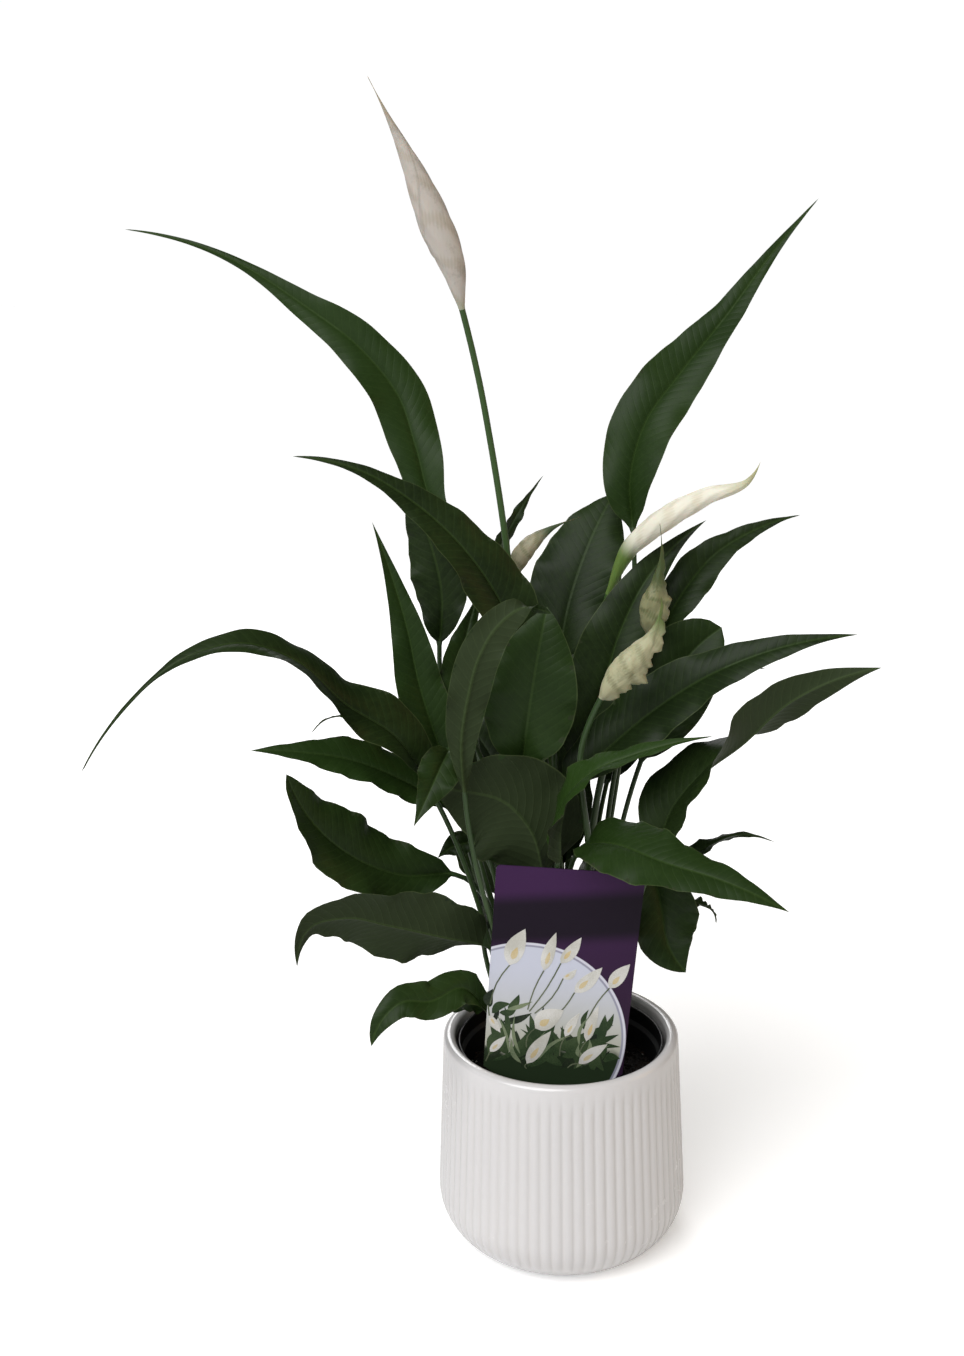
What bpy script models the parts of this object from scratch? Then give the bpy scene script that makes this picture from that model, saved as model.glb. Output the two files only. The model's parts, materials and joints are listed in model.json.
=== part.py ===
"""Potted peace lily: a reeded ceramic cover pot, a nursery pot, soil, a plant label, leaves and flowers.

Metres, +Z up. The origin is the centre of the pot's foot, on the surface that the pot stands on, and -Y is
the front. Each leaf and each flower stalk is one solid that rises out of the soil near the pot's axis.
"""

import math
from typing import NamedTuple

import bmesh
import bpy
import numpy as np

MM = 0.001
GAP = 0.3 * MM  # left between pieces that touch
MERGE_DISTANCE = 0.01 * MM
SHARP_EDGE = 40

# Cover pot
POT_HEIGHT = 126 * MM
POT_RADIUS = 72.5 * MM  # widest, where the rounded foot ends
FOOT_RADIUS = 44 * MM
FOOT_HEIGHT = 30 * MM
RIM_RADIUS = 68 * MM
RIM_ROUND = 3 * MM
POT_WALL = 7 * MM
POT_FLOOR = 6 * MM

# Nursery pot
NURSERY_CLEARANCE = 1.5 * MM
NURSERY_DROP = 5 * MM  # its rim below the cover pot's
NURSERY_WALL = 1.5 * MM
NURSERY_LIP = 10 * MM
NURSERY_STEP = 2 * MM
DRAIN_HOLES = 6
DRAIN_RADIUS = 4 * MM
DRAIN_REACH = 24 * MM  # from the middle of the base

# Soil
SOIL_DROP = 21 * MM  # below the nursery pot's rim
SOIL_CROWN = 2 * MM

# Label
LABEL_TOP_WIDTH = 81 * MM
LABEL_RIM_WIDTH = 78 * MM
LABEL_HEIGHT = 113 * MM  # above the pot's rim
LABEL_THICKNESS = 0.8 * MM
LABEL_LEAN = 5
LABEL_CENTRE = -5.5 * MM
LABEL_STAKE = 55 * MM
STAKE_WIDTH = 16 * MM
STAKE_POINT = 5 * MM  # width of its lower end
STAKE_TAPER = 15 * MM
LABEL_SHOULDER = 20 * MM  # where the card narrows to the stake
LABEL_INSET = 2 * MM  # from the nursery pot's wall

# Plant
PLANT_SCALE = 1.0
PLANT_MM = PLANT_SCALE * MM
CROWN_DEPTH = 60 * PLANT_MM  # the stems fan out from a point this far below the soil
STEM_SPACING = 5.5 * PLANT_MM
CROWDING_ROUNDS = 60
PETIOLE_RADIUS = 1.5 * PLANT_MM
SCAPE_RADIUS = 1.9 * PLANT_MM
LEAF_THICKNESS = 1.0 * PLANT_MM
BASE_FOLD = 60  # a blade starts off folded this far
TIP_SHARE = 0.15
MARGIN_WAVES = 2.5
SPATHE_RISE = 1.3
SPATHE_CLEARANCE = 1.2 * PLANT_MM  # above the end of its stalk

# What follows from those
RIM_TOP = POT_HEIGHT
MOUTH_RADIUS = RIM_RADIUS - POT_WALL
INNER_RADIUS = POT_RADIUS - POT_WALL
INNER_FOOT = FOOT_RADIUS - GAP
NURSERY_BASE = POT_FLOOR + GAP
NURSERY_TOP = POT_HEIGHT - NURSERY_DROP
NURSERY_RIM_RADIUS = MOUTH_RADIUS - NURSERY_CLEARANCE
NURSERY_BODY_RADIUS = NURSERY_RIM_RADIUS - NURSERY_STEP
NURSERY_BASE_RADIUS = INNER_FOOT - NURSERY_CLEARANCE
SOIL_TOP = NURSERY_TOP - SOIL_DROP


class Leaf(NamedTuple):
    """One leaf. Points are millimetres from the middle of the soil, and angles are degrees."""

    name: str
    spine: tuple  # from the collar, where the petiole ends and the blade starts, to the tip
    half: float  # half the blade's width
    roll: float = 0  # turns the blade about its spine, raising its left margin
    twist: float = 0  # roll added by the tip
    fold: float = 25  # each half's rise from the midrib
    curl: float = 30  # how far a margin bends back down
    rise: float = 0.75  # how fast the blade widens from its collar
    tail: float = 2  # how long it tapers to its tip
    wave: float = 2  # height of the margin's waves


class Flower(NamedTuple):
    """A flower's stalk and rolled spathe, as points in millimetres from the middle of the soil."""

    name: str
    stalk: tuple
    spathe: tuple
    half: float  # half the spathe's width
    belly: float = 0.3  # share of its length where it is widest


LEAVES = (
    Leaf(
        "tall_left",
        (
            (-33, 28, 292), (-68, 43, 327), (-77, 53, 358), (-86, 62, 385), (-107, 67, 412),
            (-138, 72, 436), (-181, 78, 463), (-238, 85, 479),
        ),
        16.5, -58, rise=2.4, tail=4.2, wave=4,
    ),
    Leaf(
        "mid_left",
        (
            (-19, -2, 246), (-32, -5, 282), (-52, -7, 312), (-77, -9, 336),
            (-104, -12, 353), (-138, -14, 361),
        ),
        20, -55, tail=2.6,
    ),
    Leaf(
        "behind_left",
        ((-66, 41, 246), (-64, 41, 276), (-70, 44, 306), (-85, 50, 341)),
        16, -75, fold=15, rise=0.8, tail=1.2,
    ),
    Leaf(
        "upright_left",
        ((-60, 17, 167), (-68, 10, 199), (-77, 11, 231), (-83, 13, 263), (-92, 14, 297), (-100, 14, 322)),
        15, -75, fold=30, rise=0.7, tail=1.8,
    ),
    Leaf(
        "arching_left",
        (
            (-70, -20, 178), (-88, -28, 213), (-114, -38, 235), (-136, -48, 260), (-163, -60, 273),
            (-192, -72, 267), (-219, -82, 245), (-240, -90, 216),
        ),
        18, -50, twist=45, rise=0.8, tail=3, wave=3,
    ),
    Leaf("thin_left", ((-73, -9, 195), (-119, 6, 216), (-131, 14, 211), (-139, 18, 202)), 4, 0),
    Leaf(
        "level_left",
        ((-61, -3, 163), (-87, -12, 184), (-113, -20, 198), (-139, -30, 206), (-165, -35, 209)),
        14, -45, tail=1.4,
    ),
    Leaf("small_drooping", ((-60, -26, 205), (-70, -44, 189), (-79, -55, 172)), 12, -60),
    Leaf(
        "front_broad",
        ((-10, -21, 129), (-18, -23, 159), (-32, -25, 175), (-51, -29, 182), (-68, -34, 186)),
        33, 80, fold=8, rise=0.6, tail=0.9,
    ),
    Leaf(
        "low_left",
        ((-59, -10, 127), (-88, -24, 133), (-115, -38, 151), (-135, -49, 177), (-144, -55, 202)),
        22, -50, rise=0.8, tail=0.9, wave=3,
    ),
    Leaf(
        "over_rim_left",
        (
            (-41, -16, 86), (-67, -34, 101), (-94, -46, 113), (-117, -56, 122),
            (-134, -62, 120), (-142, -66, 99),
        ),
        27, 62, fold=18, tail=1.4,
    ),
    Leaf(
        "rim_curl_left",
        ((-41, -26, 50), (-57, -36, 71), (-73, -46, 68), (-89, -53, 71), (-100, -58, 62), (-105, -60, 49)),
        11, -50, tail=1,
    ),
    Leaf("rim_small_left", ((-42, -12, 48), (-60, -20, 53), (-78, -26, 52)), 8, -30),
    Leaf("short_left", ((-50, 15, 137), (-61, 12, 135), (-69, 8, 130)), 8, -70),
    Leaf(
        "centre_crescent",
        (
            (-52, -43, 184), (-53, -46, 217), (-49, -49, 241), (-43, -51, 262),
            (-34, -51, 277), (-21, -49, 286), (-6, -45, 282),
        ),
        11, 0, fold=15, rise=0.9, tail=0.8,
    ),
    Leaf(
        "centre_broad",
        ((-21, -18, 193), (-17, -25, 227), (-12, -24, 257), (-7, -18, 280)),
        25, 180, fold=15, rise=0.6, tail=0.9,
    ),
    Leaf("centre_rear_left", ((-55, 16, 216), (-52, 20, 249), (-43, 28, 279)), 13, -50),
    Leaf("rear_narrow", ((-36, 78, 284), (-27, 88, 301), (-17, 96, 317), (-3, 105, 335)), 5, 30),
    Leaf(
        "rear_centre",
        ((2, 44, 233), (8, 54, 264), (18, 64, 292), (37, 84, 326)),
        26, 10, fold=12, rise=0.7, tail=0.9,
    ),
    Leaf(
        "tall_right",
        (
            (46, 56, 304), (44, 60, 338), (53, 67, 368), (74, 78, 395),
            (102, 93, 426), (130, 109, 460), (159, 122, 491),
        ),
        20, 35, rise=0.9, tail=2.6, wave=3,
    ),
    Leaf(
        "mid_right",
        ((57, 34, 248), (72, 41, 274), (90, 48, 294), (113, 54, 307), (142, 60, 315)),
        13, 45,
    ),
    Leaf(
        "centre_right",
        ((7, 9, 184), (24, 16, 222), (35, 23, 256), (53, 31, 288), (85, 40, 316)),
        22, 50, rise=0.7, tail=1.8,
    ),
    Leaf(
        "rear_right",
        ((47, 16, 183), (59, 20, 213), (72, 24, 239), (93, 28, 257)),
        24, 60, rise=0.7, tail=0.6,
    ),
    Leaf(
        "front_right",
        ((0, -11, 176), (22, -14, 197), (48, -18, 221), (80, -25, 244), (116, -30, 259), (155, -30, 265)),
        20, 50, rise=0.7, tail=1.8,
    ),
    Leaf("thin_right", ((54, 12, 224), (78, 6, 242), (97, 4, 241), (114, 3, 239)), 4, 0),
    Leaf(
        "front_curved",
        ((-3, -32, 139), (-2, -35, 166), (4, -42, 186), (15, -47, 198), (35, -49, 207), (77, -50, 217)),
        15, 30, fold=25, rise=0.7,
    ),
    Leaf(
        "long_right",
        ((52, -20, 143), (61, -22, 170), (75, -26, 189), (95, -30, 206), (119, -35, 230), (165, -42, 250)),
        27, 75, twist=-190, tail=1.6,
    ),
    Leaf("narrow_right", ((54, 18, 110), (80, 14, 129), (102, 10, 140), (123, 8, 136)), 6, 20),
    Leaf(
        "over_label",
        ((12, -34, 152), (27, -65, 164), (49, -87, 162), (75, -99, 157), (108, -105, 142)),
        20, 25, fold=12, rise=0.6, tail=1.5,
    ),
    Leaf("low_right", ((53, 8, 121), (58, -2, 99), (60, -10, 84), (70, -16, 68)), 20, 60, rise=0.7, tail=1),
    Leaf("curl_right", ((70, 10, 103), (80, 8, 100), (88, 6, 96), (90, 5, 88)), 4, 0),
    Leaf("behind_label", ((-44, 2, 81), (-45, 4, 103), (-50, 4, 127)), 9, 0),
    Leaf("back_left", ((-20, 48, 140), (-52, 90, 185), (-78, 135, 175)), 28, 0),
    Leaf("back_middle", ((5, 55, 170), (10, 105, 225), (15, 165, 215)), 30, 0),
    Leaf("back_right", ((30, 45, 160), (48, 80, 205), (58, 118, 212)), 24, 0),
    Leaf("back_low_left", ((-28, 45, 85), (-48, 85, 112), (-65, 125, 95)), 24, 0),
    Leaf("back_low_right", ((24, 50, 80), (44, 95, 98), (58, 138, 80)), 20, 0),
    Leaf(
        "centre_low",
        ((-3, 18, 118), (-2, 21, 146), (-1, 24, 169), (2, 27, 192), (6, 29, 215)),
        22, 0, fold=12, rise=0.6, tail=0.9,
    ),
)

FLOWERS = (
    Flower(
        "tall",
        ((-35, 14, 362), (-40, 12, 392)),
        ((-49, 6, 433), (-53, 3, 453), (-62, 0, 477), (-73, -4, 504), (-84, -7, 527), (-93, -10, 545)),
        6.8,
        0.36,
    ),
    Flower("bud", ((-1, 14, 150),), ((-24, 30, 287), (-19, 29, 300), (-9, 29, 310), (14, 31, 320)), 4),
    Flower(
        "open",
        ((14, 34, 200),),
        ((30, 39, 275), (42, 31, 303), (59, 23, 319), (82, 15, 333), (102, 9, 341), (108, 6, 352)),
        5.2,
        0.5,
    ),
    Flower(
        "faded_upper",
        ((28, -2, 200),),
        ((49, 3, 260), (50, 2, 269), (51, 1, 278), (53, 0, 289), (55, 0, 303), (54, 0, 321)),
        5.5, 0.22,
    ),
    Flower(
        "faded_lower",
        ((15, -20, 140), (12, -35, 215)),
        ((20, -38, 235), (27, -40, 246), (36, -41, 257), (44, -43, 267), (48, -43, 275), (50, -43, 290)),
        5.5, 0.33,
    ),
)

# Cross-section of a leaf, from its left margin over the top to its right margin and back underneath:
# how far across each point lies, whether it is underneath, and its angle on the round petiole.
SECTION = (
    (1, False, 0),
    (0.5, False, 45),
    (0, False, 90),
    (-0.5, False, 135),
    (-1, False, 180),
    (-0.5, True, 225),
    (0, True, 270),
    (0.5, True, 315),
)
PETIOLE_STATIONS = (0, 0.3, 0.55, 0.8)
BLADE_STATIONS = (0, 0.04, 0.1, 0.18, 0.27, 0.36, 0.46, 0.56, 0.66, 0.77, 0.88)
STALK_STATIONS = 11
SPATHE_STATIONS = (0, 0.08, 0.16, 0.25, 0.35, 0.45, 0.57, 0.7, 0.82, 0.92)


def clear_scene():
    for thing in list(bpy.data.objects):
        bpy.data.objects.remove(thing)


def material(name, colour, roughness, metallic=0.0):
    """A Principled material of one colour, made once."""
    found = bpy.data.materials.get(name)
    if found:
        return found
    made = bpy.data.materials.new(name)
    made.use_nodes = True
    shader = made.node_tree.nodes["Principled BSDF"]
    shader.inputs["Base Color"].default_value = (*colour, 1)
    shader.inputs["Roughness"].default_value = roughness
    shader.inputs["Metallic"].default_value = metallic
    return made


def add_object(name, mesh, finish, smooth=True):
    thing = bpy.data.objects.new(name, mesh)
    bpy.context.collection.objects.link(thing)
    mesh.materials.append(finish)
    if smooth:
        mesh.shade_smooth()
        mesh.set_sharp_from_angle(angle=math.radians(SHARP_EDGE))
    return thing


def mesh_of(name, points, faces):
    """A closed mesh with its faces turned outwards."""
    mesh = bpy.data.meshes.new(name)
    mesh.from_pydata([tuple(point) for point in points], [], faces)
    shape = bmesh.new()
    shape.from_mesh(mesh)
    bmesh.ops.recalc_face_normals(shape, faces=shape.faces)
    shape.to_mesh(mesh)
    shape.free()
    return mesh


def arc(centre, radii, start, end, steps):
    """Points on a quarter of an ellipse in the profile's plane, as (radius, height)."""
    for step in range(steps + 1):
        angle = math.radians(start + (end - start) * step / steps)
        yield centre[0] + radii[0] * math.cos(angle), centre[1] + radii[1] * math.sin(angle)


def turned(name, profile, sides, finish):
    """The solid made by turning a profile about the Z axis. Both its ends lie on the axis."""
    shape = bmesh.new()
    points = [shape.verts.new((radius, 0, height)) for radius, height in profile]
    edges = [shape.edges.new(pair) for pair in zip(points, points[1:])]
    bmesh.ops.spin(
        shape,
        geom=points + edges,
        cent=(0, 0, 0),
        axis=(0, 0, 1),
        angle=math.tau,
        steps=sides,
        use_merge=True,
    )
    bmesh.ops.remove_doubles(shape, verts=shape.verts, dist=MERGE_DISTANCE)
    bmesh.ops.recalc_face_normals(shape, faces=shape.faces)
    mesh = bpy.data.meshes.new(name)
    shape.to_mesh(mesh)
    shape.free()
    return add_object(name, mesh, finish)


def cut(thing, cutter):
    """Cuts a helper object out of a piece, and leaves the helper out of the model."""
    cutter.hide_render = True
    cutter.display_type = "WIRE"
    boolean = thing.modifiers.new("Cut", "BOOLEAN")
    boolean.operation = "DIFFERENCE"
    boolean.object = cutter


def smooth_curve(knots):
    """A function from a distance to the point and direction on one smooth curve through the knots."""
    knots = np.array(knots, float)
    stations = np.concatenate([[0], np.cumsum(np.linalg.norm(np.diff(knots, axis=0), axis=1))])
    slopes = np.gradient(knots, stations, axis=0, edge_order=2)
    slopes[0] = (knots[1] - knots[0]) / stations[1]

    def at(distance):
        span = min(max(np.searchsorted(stations, distance, side="right") - 1, 0), len(knots) - 2)
        length = stations[span + 1] - stations[span]
        t = (distance - stations[span]) / length
        start, end = knots[span], knots[span + 1]
        leave, arrive = slopes[span] * length, slopes[span + 1] * length
        point = (
            start * (2 * t**3 - 3 * t**2 + 1)
            + leave * (t**3 - 2 * t**2 + t)
            + end * (3 * t**2 - 2 * t**3)
            + arrive * (t**3 - t**2)
        )
        direction = (
            (start - end) * (6 * t**2 - 6 * t)
            + leave * (3 * t**2 - 4 * t + 1)
            + arrive * (3 * t**2 - 2 * t)
        )
        return point, direction / np.linalg.norm(direction)

    return at, stations


def loft(name, rings, finish, tip=None):
    """Closed skin over rings of points. The last ring ends in one point if a tip is given.

    A patch on top is cut along the same diagonal as the one beneath it, so the two never cross.
    """
    sides = len(rings[0])
    points = [point for ring in rings for point in ring]
    faces = [tuple(range(sides))]
    for row in range(len(rings) - 1):
        for side in range(sides):
            near, far = row * sides + side, row * sides + (side + 1) % sides
            if side < sides / 2:
                faces += [(near, far, far + sides), (near, far + sides, near + sides)]
            else:
                faces += [(near, far, near + sides), (far, far + sides, near + sides)]
    last = (len(rings) - 1) * sides
    if tip is None:
        faces.append(tuple(range(last, last + sides)))
    else:
        points.append(tip)
        faces += [(last + side, last + (side + 1) % sides, len(points) - 1) for side in range(sides)]
    return add_object(name, mesh_of(name, points, faces), finish)


def plant_point(millimetres):
    x, y, up = millimetres
    return np.array((x * PLANT_MM, y * PLANT_MM, SOIL_TOP + up * PLANT_MM))


def soil_surface(radius):
    return SOIL_TOP + SOIL_CROWN * (1 - (radius / NURSERY_BODY_RADIUS) ** 2)


def feet_of(aims):
    """Where the stems that aim at these points leave the soil.

    They fan out from one point below it, and each is then pushed away from those that crowd it.
    """
    aims = np.array(aims)
    share = CROWN_DEPTH / (CROWN_DEPTH + aims[:, 2:] - SOIL_TOP)
    places = aims[:, :2] * share
    for _ in range(CROWDING_ROUNDS):
        apart = places[:, None] - places[None, :]
        distance = np.linalg.norm(apart, axis=2) + np.eye(len(places))
        push = np.clip(STEM_SPACING - distance, 0, None) * (1 - np.eye(len(places))) / 2
        places = places + (apart / distance[:, :, None] * push[:, :, None]).sum(axis=1) / 2
    return [np.array((x, y, soil_surface(math.hypot(x, y)) + GAP)) for x, y in places]


def swelling(t, rise, tail):
    """A width from 0 at t = 0 over 1 at its widest to 0 at t = 1."""
    peak = rise / (rise + tail)
    return (t / peak) ** rise * ((1 - t) / (1 - peak)) ** tail


def blade_width(leaf, t):
    """Share of the blade's full width. Its drawn-out tip keeps part of a blunter outline."""
    return (1 - TIP_SHARE) * swelling(t, leaf.rise, leaf.tail) + TIP_SHARE * swelling(t, 1, 0.8)


def blade_section(leaf, t):
    """The cross-section's points, as (across, up) from the midrib, at a share t of the blade's length."""
    share = blade_width(leaf, t)
    width = leaf.half * PLANT_MM * share
    fold = math.radians(leaf.fold + (BASE_FOLD - leaf.fold) * (1 - t) ** 8)
    curl = math.radians(leaf.curl)
    rib = 2 * PETIOLE_RADIUS * (1 - t) ** 2
    points = []
    for across, under, _ in SECTION:
        reach = abs(across)
        side = 1 if across > 0 else -1
        angle = fold - curl * reach / 2
        wave = leaf.wave * PLANT_MM * share * reach**2 * math.sin(math.tau * (MARGIN_WAVES * t + 0.2 * side))
        up = width * reach * math.sin(angle) + wave
        if under:
            up -= max(LEAF_THICKNESS, rib * (1 - reach))
        points.append((side * width * reach * math.cos(angle), up))
    return points


def round_section(radius):
    angles = [math.radians(angle) for _, _, angle in SECTION]
    return [(radius * math.cos(angle), radius * math.sin(angle)) for angle in angles]


def ring_at(point, direction, side, roll, section):
    """A cross-section placed on the spine."""
    side = side - direction * np.dot(side, direction)
    side /= np.linalg.norm(side)
    up = np.cross(direction, side)
    turn = math.radians(roll)
    left = side * math.cos(turn) + up * math.sin(turn)
    up = up * math.cos(turn) - side * math.sin(turn)
    return [point + left * across + up * height for across, height in section]


def stand_flat(ring, foot):
    """Levels a stem's lowest ring at the height of its foot."""
    for corner in ring:
        corner[2] = foot[2]


def add_leaf(leaf, foot):
    knots = [foot, *map(plant_point, leaf.spine)]
    at, stations = smooth_curve(knots)
    outward = knots[-2] + knots[-1] - 2 * foot
    heading = math.atan2(outward[1], outward[0])
    side = np.array((-math.sin(heading), math.cos(heading), 0))
    collar, end = stations[1], stations[-1]
    rings = []
    for share in PETIOLE_STATIONS:
        point, direction = at(collar * share)
        rings.append(ring_at(point, direction, side, leaf.roll * share, round_section(PETIOLE_RADIUS)))
    for t in BLADE_STATIONS:
        point, direction = at(collar + (end - collar) * t)
        section = blade_section(leaf, t) if t else round_section(PETIOLE_RADIUS)
        rings.append(ring_at(point, direction, side, leaf.roll + leaf.twist * t, section))
    stand_flat(rings[0], foot)
    green = material("leaf green", (0.03, 0.07, 0.02), 0.4)
    loft("leaf_" + leaf.name, rings, green, tip=at(end)[0])


def round_rings(knots, widths):
    """Rings of the given radii, a (share of the length, radius) each, along a curve through the knots."""
    at, stations = smooth_curve(knots)
    side = np.array((0.0, 1.0, 0.0))
    rings = []
    for share, radius in widths:
        point, direction = at(stations[-1] * share)
        rings.append(ring_at(point, direction, side, 0, round_section(radius)))
    return rings


def add_stalk(flower, foot):
    knots = [foot, *map(plant_point, flower.stalk), plant_point(flower.spathe[0])]
    rings = round_rings(knots, [(share, SCAPE_RADIUS) for share in np.linspace(0, 1, STALK_STATIONS)])
    stand_flat(rings[0], foot)
    loft("stalk_" + flower.name, rings, material("stalk green", (0.05, 0.12, 0.03), 0.4))


def add_spathe(flower):
    half = flower.half * PLANT_MM
    tail = SPATHE_RISE * (1 - flower.belly) / flower.belly
    widths = []
    for share in SPATHE_STATIONS:
        neck = SCAPE_RADIUS * (1 - share)
        widths.append((share, neck + half * swelling(share, SPATHE_RISE, tail)))
    knots = [plant_point(point) for point in flower.spathe]
    start = knots[1] - knots[0]
    knots[0] = knots[0] + start / np.linalg.norm(start) * SPATHE_CLEARANCE
    white = material("spathe white", (0.8, 0.76, 0.66), 0.5)
    loft("spathe_" + flower.name, round_rings(knots, widths), white, tip=knots[-1])


def add_cover_pot():
    """A rounded foot, a wall that narrows to a round rim, and the same shape inside."""
    foot = arc((FOOT_RADIUS, FOOT_HEIGHT), (POT_RADIUS - FOOT_RADIUS, FOOT_HEIGHT), -90, 0, 6)
    rim_middle = RIM_RADIUS - POT_WALL / 2
    rim = arc((rim_middle, POT_HEIGHT - RIM_ROUND), (POT_WALL / 2, RIM_ROUND), 0, 180, 6)
    inner_low = (INNER_FOOT, POT_FLOOR + FOOT_HEIGHT)
    inside = arc(inner_low, (INNER_RADIUS - INNER_FOOT, FOOT_HEIGHT), 0, -90, 5)
    glaze = material("white glaze", (0.78, 0.75, 0.72), 0.3)
    turned("cover_pot", [(0, 0), *foot, *rim, *inside, (0, POT_FLOOR)], 64, glaze)


def add_nursery_pot():
    wall = NURSERY_WALL
    lip_base = NURSERY_TOP - NURSERY_LIP
    profile = [
        (0, NURSERY_BASE),
        (NURSERY_BASE_RADIUS, NURSERY_BASE),
        (NURSERY_BODY_RADIUS, lip_base),
        (NURSERY_RIM_RADIUS, lip_base),
        (NURSERY_RIM_RADIUS, NURSERY_TOP),
        (NURSERY_RIM_RADIUS - wall, NURSERY_TOP),
        (NURSERY_BODY_RADIUS - wall, lip_base),
        (NURSERY_BASE_RADIUS - wall, NURSERY_BASE + wall),
        (0, NURSERY_BASE + wall),
    ]
    pot = turned("nursery_pot", profile, 48, material("black plastic", (0.02, 0.02, 0.02), 0.5))
    drill = bpy.data.meshes.new("drain_drill")
    shape = bmesh.new()
    bmesh.ops.create_cone(
        shape,
        cap_ends=True,
        segments=12,
        radius1=DRAIN_RADIUS,
        radius2=DRAIN_RADIUS,
        depth=4 * wall,
    )
    shape.to_mesh(drill)
    shape.free()
    for hole in range(DRAIN_HOLES):
        angle = math.tau * hole / DRAIN_HOLES
        cutter = bpy.data.objects.new("drain_drill", drill)
        bpy.context.collection.objects.link(cutter)
        reach = DRAIN_REACH * np.array((math.cos(angle), math.sin(angle)))
        cutter.location = (*reach, NURSERY_BASE + wall / 2)
        cut(pot, cutter)


def label_outline(margin):
    """The label's outline as (across, up) from its middle at the height of the cover pot's rim."""
    top = LABEL_TOP_WIDTH / 2 + margin
    rim = LABEL_RIM_WIDTH / 2 + margin
    stake = STAKE_WIDTH / 2 + margin
    drop = NURSERY_DROP + LABEL_INSET
    right = [
        (STAKE_POINT / 2, -LABEL_STAKE - margin),
        (stake, STAKE_TAPER - LABEL_STAKE),
        (stake, -drop - LABEL_SHOULDER),
        (rim, -drop),
        (top, LABEL_HEIGHT + margin),
    ]
    return right + [(-across, up) for across, up in reversed(right)]


def add_plate(name, outline, depth, finish, y):
    """A flat plate standing across the pot, leaning to the right."""
    lean = math.radians(LABEL_LEAN)
    points = []
    for face in (-depth / 2, depth / 2):
        for across, up in outline:
            x = LABEL_CENTRE + across * math.cos(lean) + up * math.sin(lean)
            points.append((x, y + face, RIM_TOP + up * math.cos(lean) - across * math.sin(lean)))
    count = len(outline)
    faces = [tuple(range(count)), tuple(range(2 * count - 1, count - 1, -1))]
    faces += [(i, (i + 1) % count, (i + 1) % count + count, i + count) for i in range(count)]
    return add_object(name, mesh_of(name, points, faces), finish, smooth=False)


def label_place():
    """The label's Y, as near the front as its bottom corners fit inside the nursery pot."""
    corner = LABEL_RIM_WIDTH / 2 - LABEL_CENTRE
    return LABEL_INSET - (NURSERY_BODY_RADIUS**2 - corner**2) ** 0.5


def add_label():
    card = material("label card", (0.1, 0.02, 0.15), 0.4)
    add_plate("plant_label", label_outline(0), LABEL_THICKNESS, card, label_place())


def add_soil():
    """Soil that fills the nursery pot to a low crown, with a slot for the label."""
    wall = NURSERY_WALL + GAP
    low = NURSERY_BASE + wall
    slope = (NURSERY_BODY_RADIUS - NURSERY_BASE_RADIUS) / (NURSERY_TOP - NURSERY_LIP - NURSERY_BASE)
    low_radius = NURSERY_BASE_RADIUS - wall
    top_radius = low_radius + slope * (SOIL_TOP - low)
    profile = [(0, low), (low_radius - GAP, low), (top_radius - GAP, SOIL_TOP)]
    profile += [(top_radius * share, soil_surface(top_radius * share)) for share in (2 / 3, 1 / 3, 0)]
    earth = material("potting soil", (0.03, 0.02, 0.015), 0.9)
    soil = turned("soil", profile, 32, earth)
    slot = add_plate("label_slot", label_outline(GAP), LABEL_THICKNESS + 2 * GAP, earth, label_place())
    cut(soil, slot)


def main():
    clear_scene()
    add_cover_pot()
    add_nursery_pot()
    add_label()
    add_soil()
    aims = [leaf.spine[0] for leaf in LEAVES] + [flower.stalk[0] for flower in FLOWERS]
    feet = feet_of([plant_point(aim) for aim in aims])
    for leaf, foot in zip(LEAVES, feet):
        add_leaf(leaf, foot)
    for flower, foot in zip(FLOWERS, feet[len(LEAVES) :]):
        add_stalk(flower, foot)
        add_spathe(flower)


main()
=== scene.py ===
"""Looks of a potted peace lily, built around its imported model.

Metres, +Z up, with the front facing -Y. Every leaf, stalk and spathe follows the same spine as its solid.
"""

import json
import math
import random
from typing import NamedTuple

import bmesh
import bpy
import numpy as np
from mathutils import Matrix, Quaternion, Vector, noise

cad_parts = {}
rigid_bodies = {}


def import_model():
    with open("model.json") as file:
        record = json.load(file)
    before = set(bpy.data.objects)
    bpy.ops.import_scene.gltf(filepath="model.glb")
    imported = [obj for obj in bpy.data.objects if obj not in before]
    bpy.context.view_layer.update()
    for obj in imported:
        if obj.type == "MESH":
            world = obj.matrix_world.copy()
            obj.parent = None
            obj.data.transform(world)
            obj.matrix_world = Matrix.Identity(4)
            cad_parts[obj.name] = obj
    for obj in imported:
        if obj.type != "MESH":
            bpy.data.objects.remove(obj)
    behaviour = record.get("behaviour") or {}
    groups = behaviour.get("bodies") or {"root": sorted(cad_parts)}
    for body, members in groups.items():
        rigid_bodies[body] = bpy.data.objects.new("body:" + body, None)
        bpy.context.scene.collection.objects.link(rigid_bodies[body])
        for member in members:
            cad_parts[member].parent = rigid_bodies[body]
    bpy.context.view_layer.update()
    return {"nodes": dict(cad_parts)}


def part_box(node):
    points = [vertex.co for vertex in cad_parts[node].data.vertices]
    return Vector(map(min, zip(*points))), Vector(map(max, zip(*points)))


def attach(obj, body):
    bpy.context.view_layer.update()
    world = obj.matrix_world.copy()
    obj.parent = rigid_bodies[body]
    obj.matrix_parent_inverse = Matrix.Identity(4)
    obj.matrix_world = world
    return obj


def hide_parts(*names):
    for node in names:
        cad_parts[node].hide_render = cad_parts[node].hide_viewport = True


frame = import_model()

MM = 0.001

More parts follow.
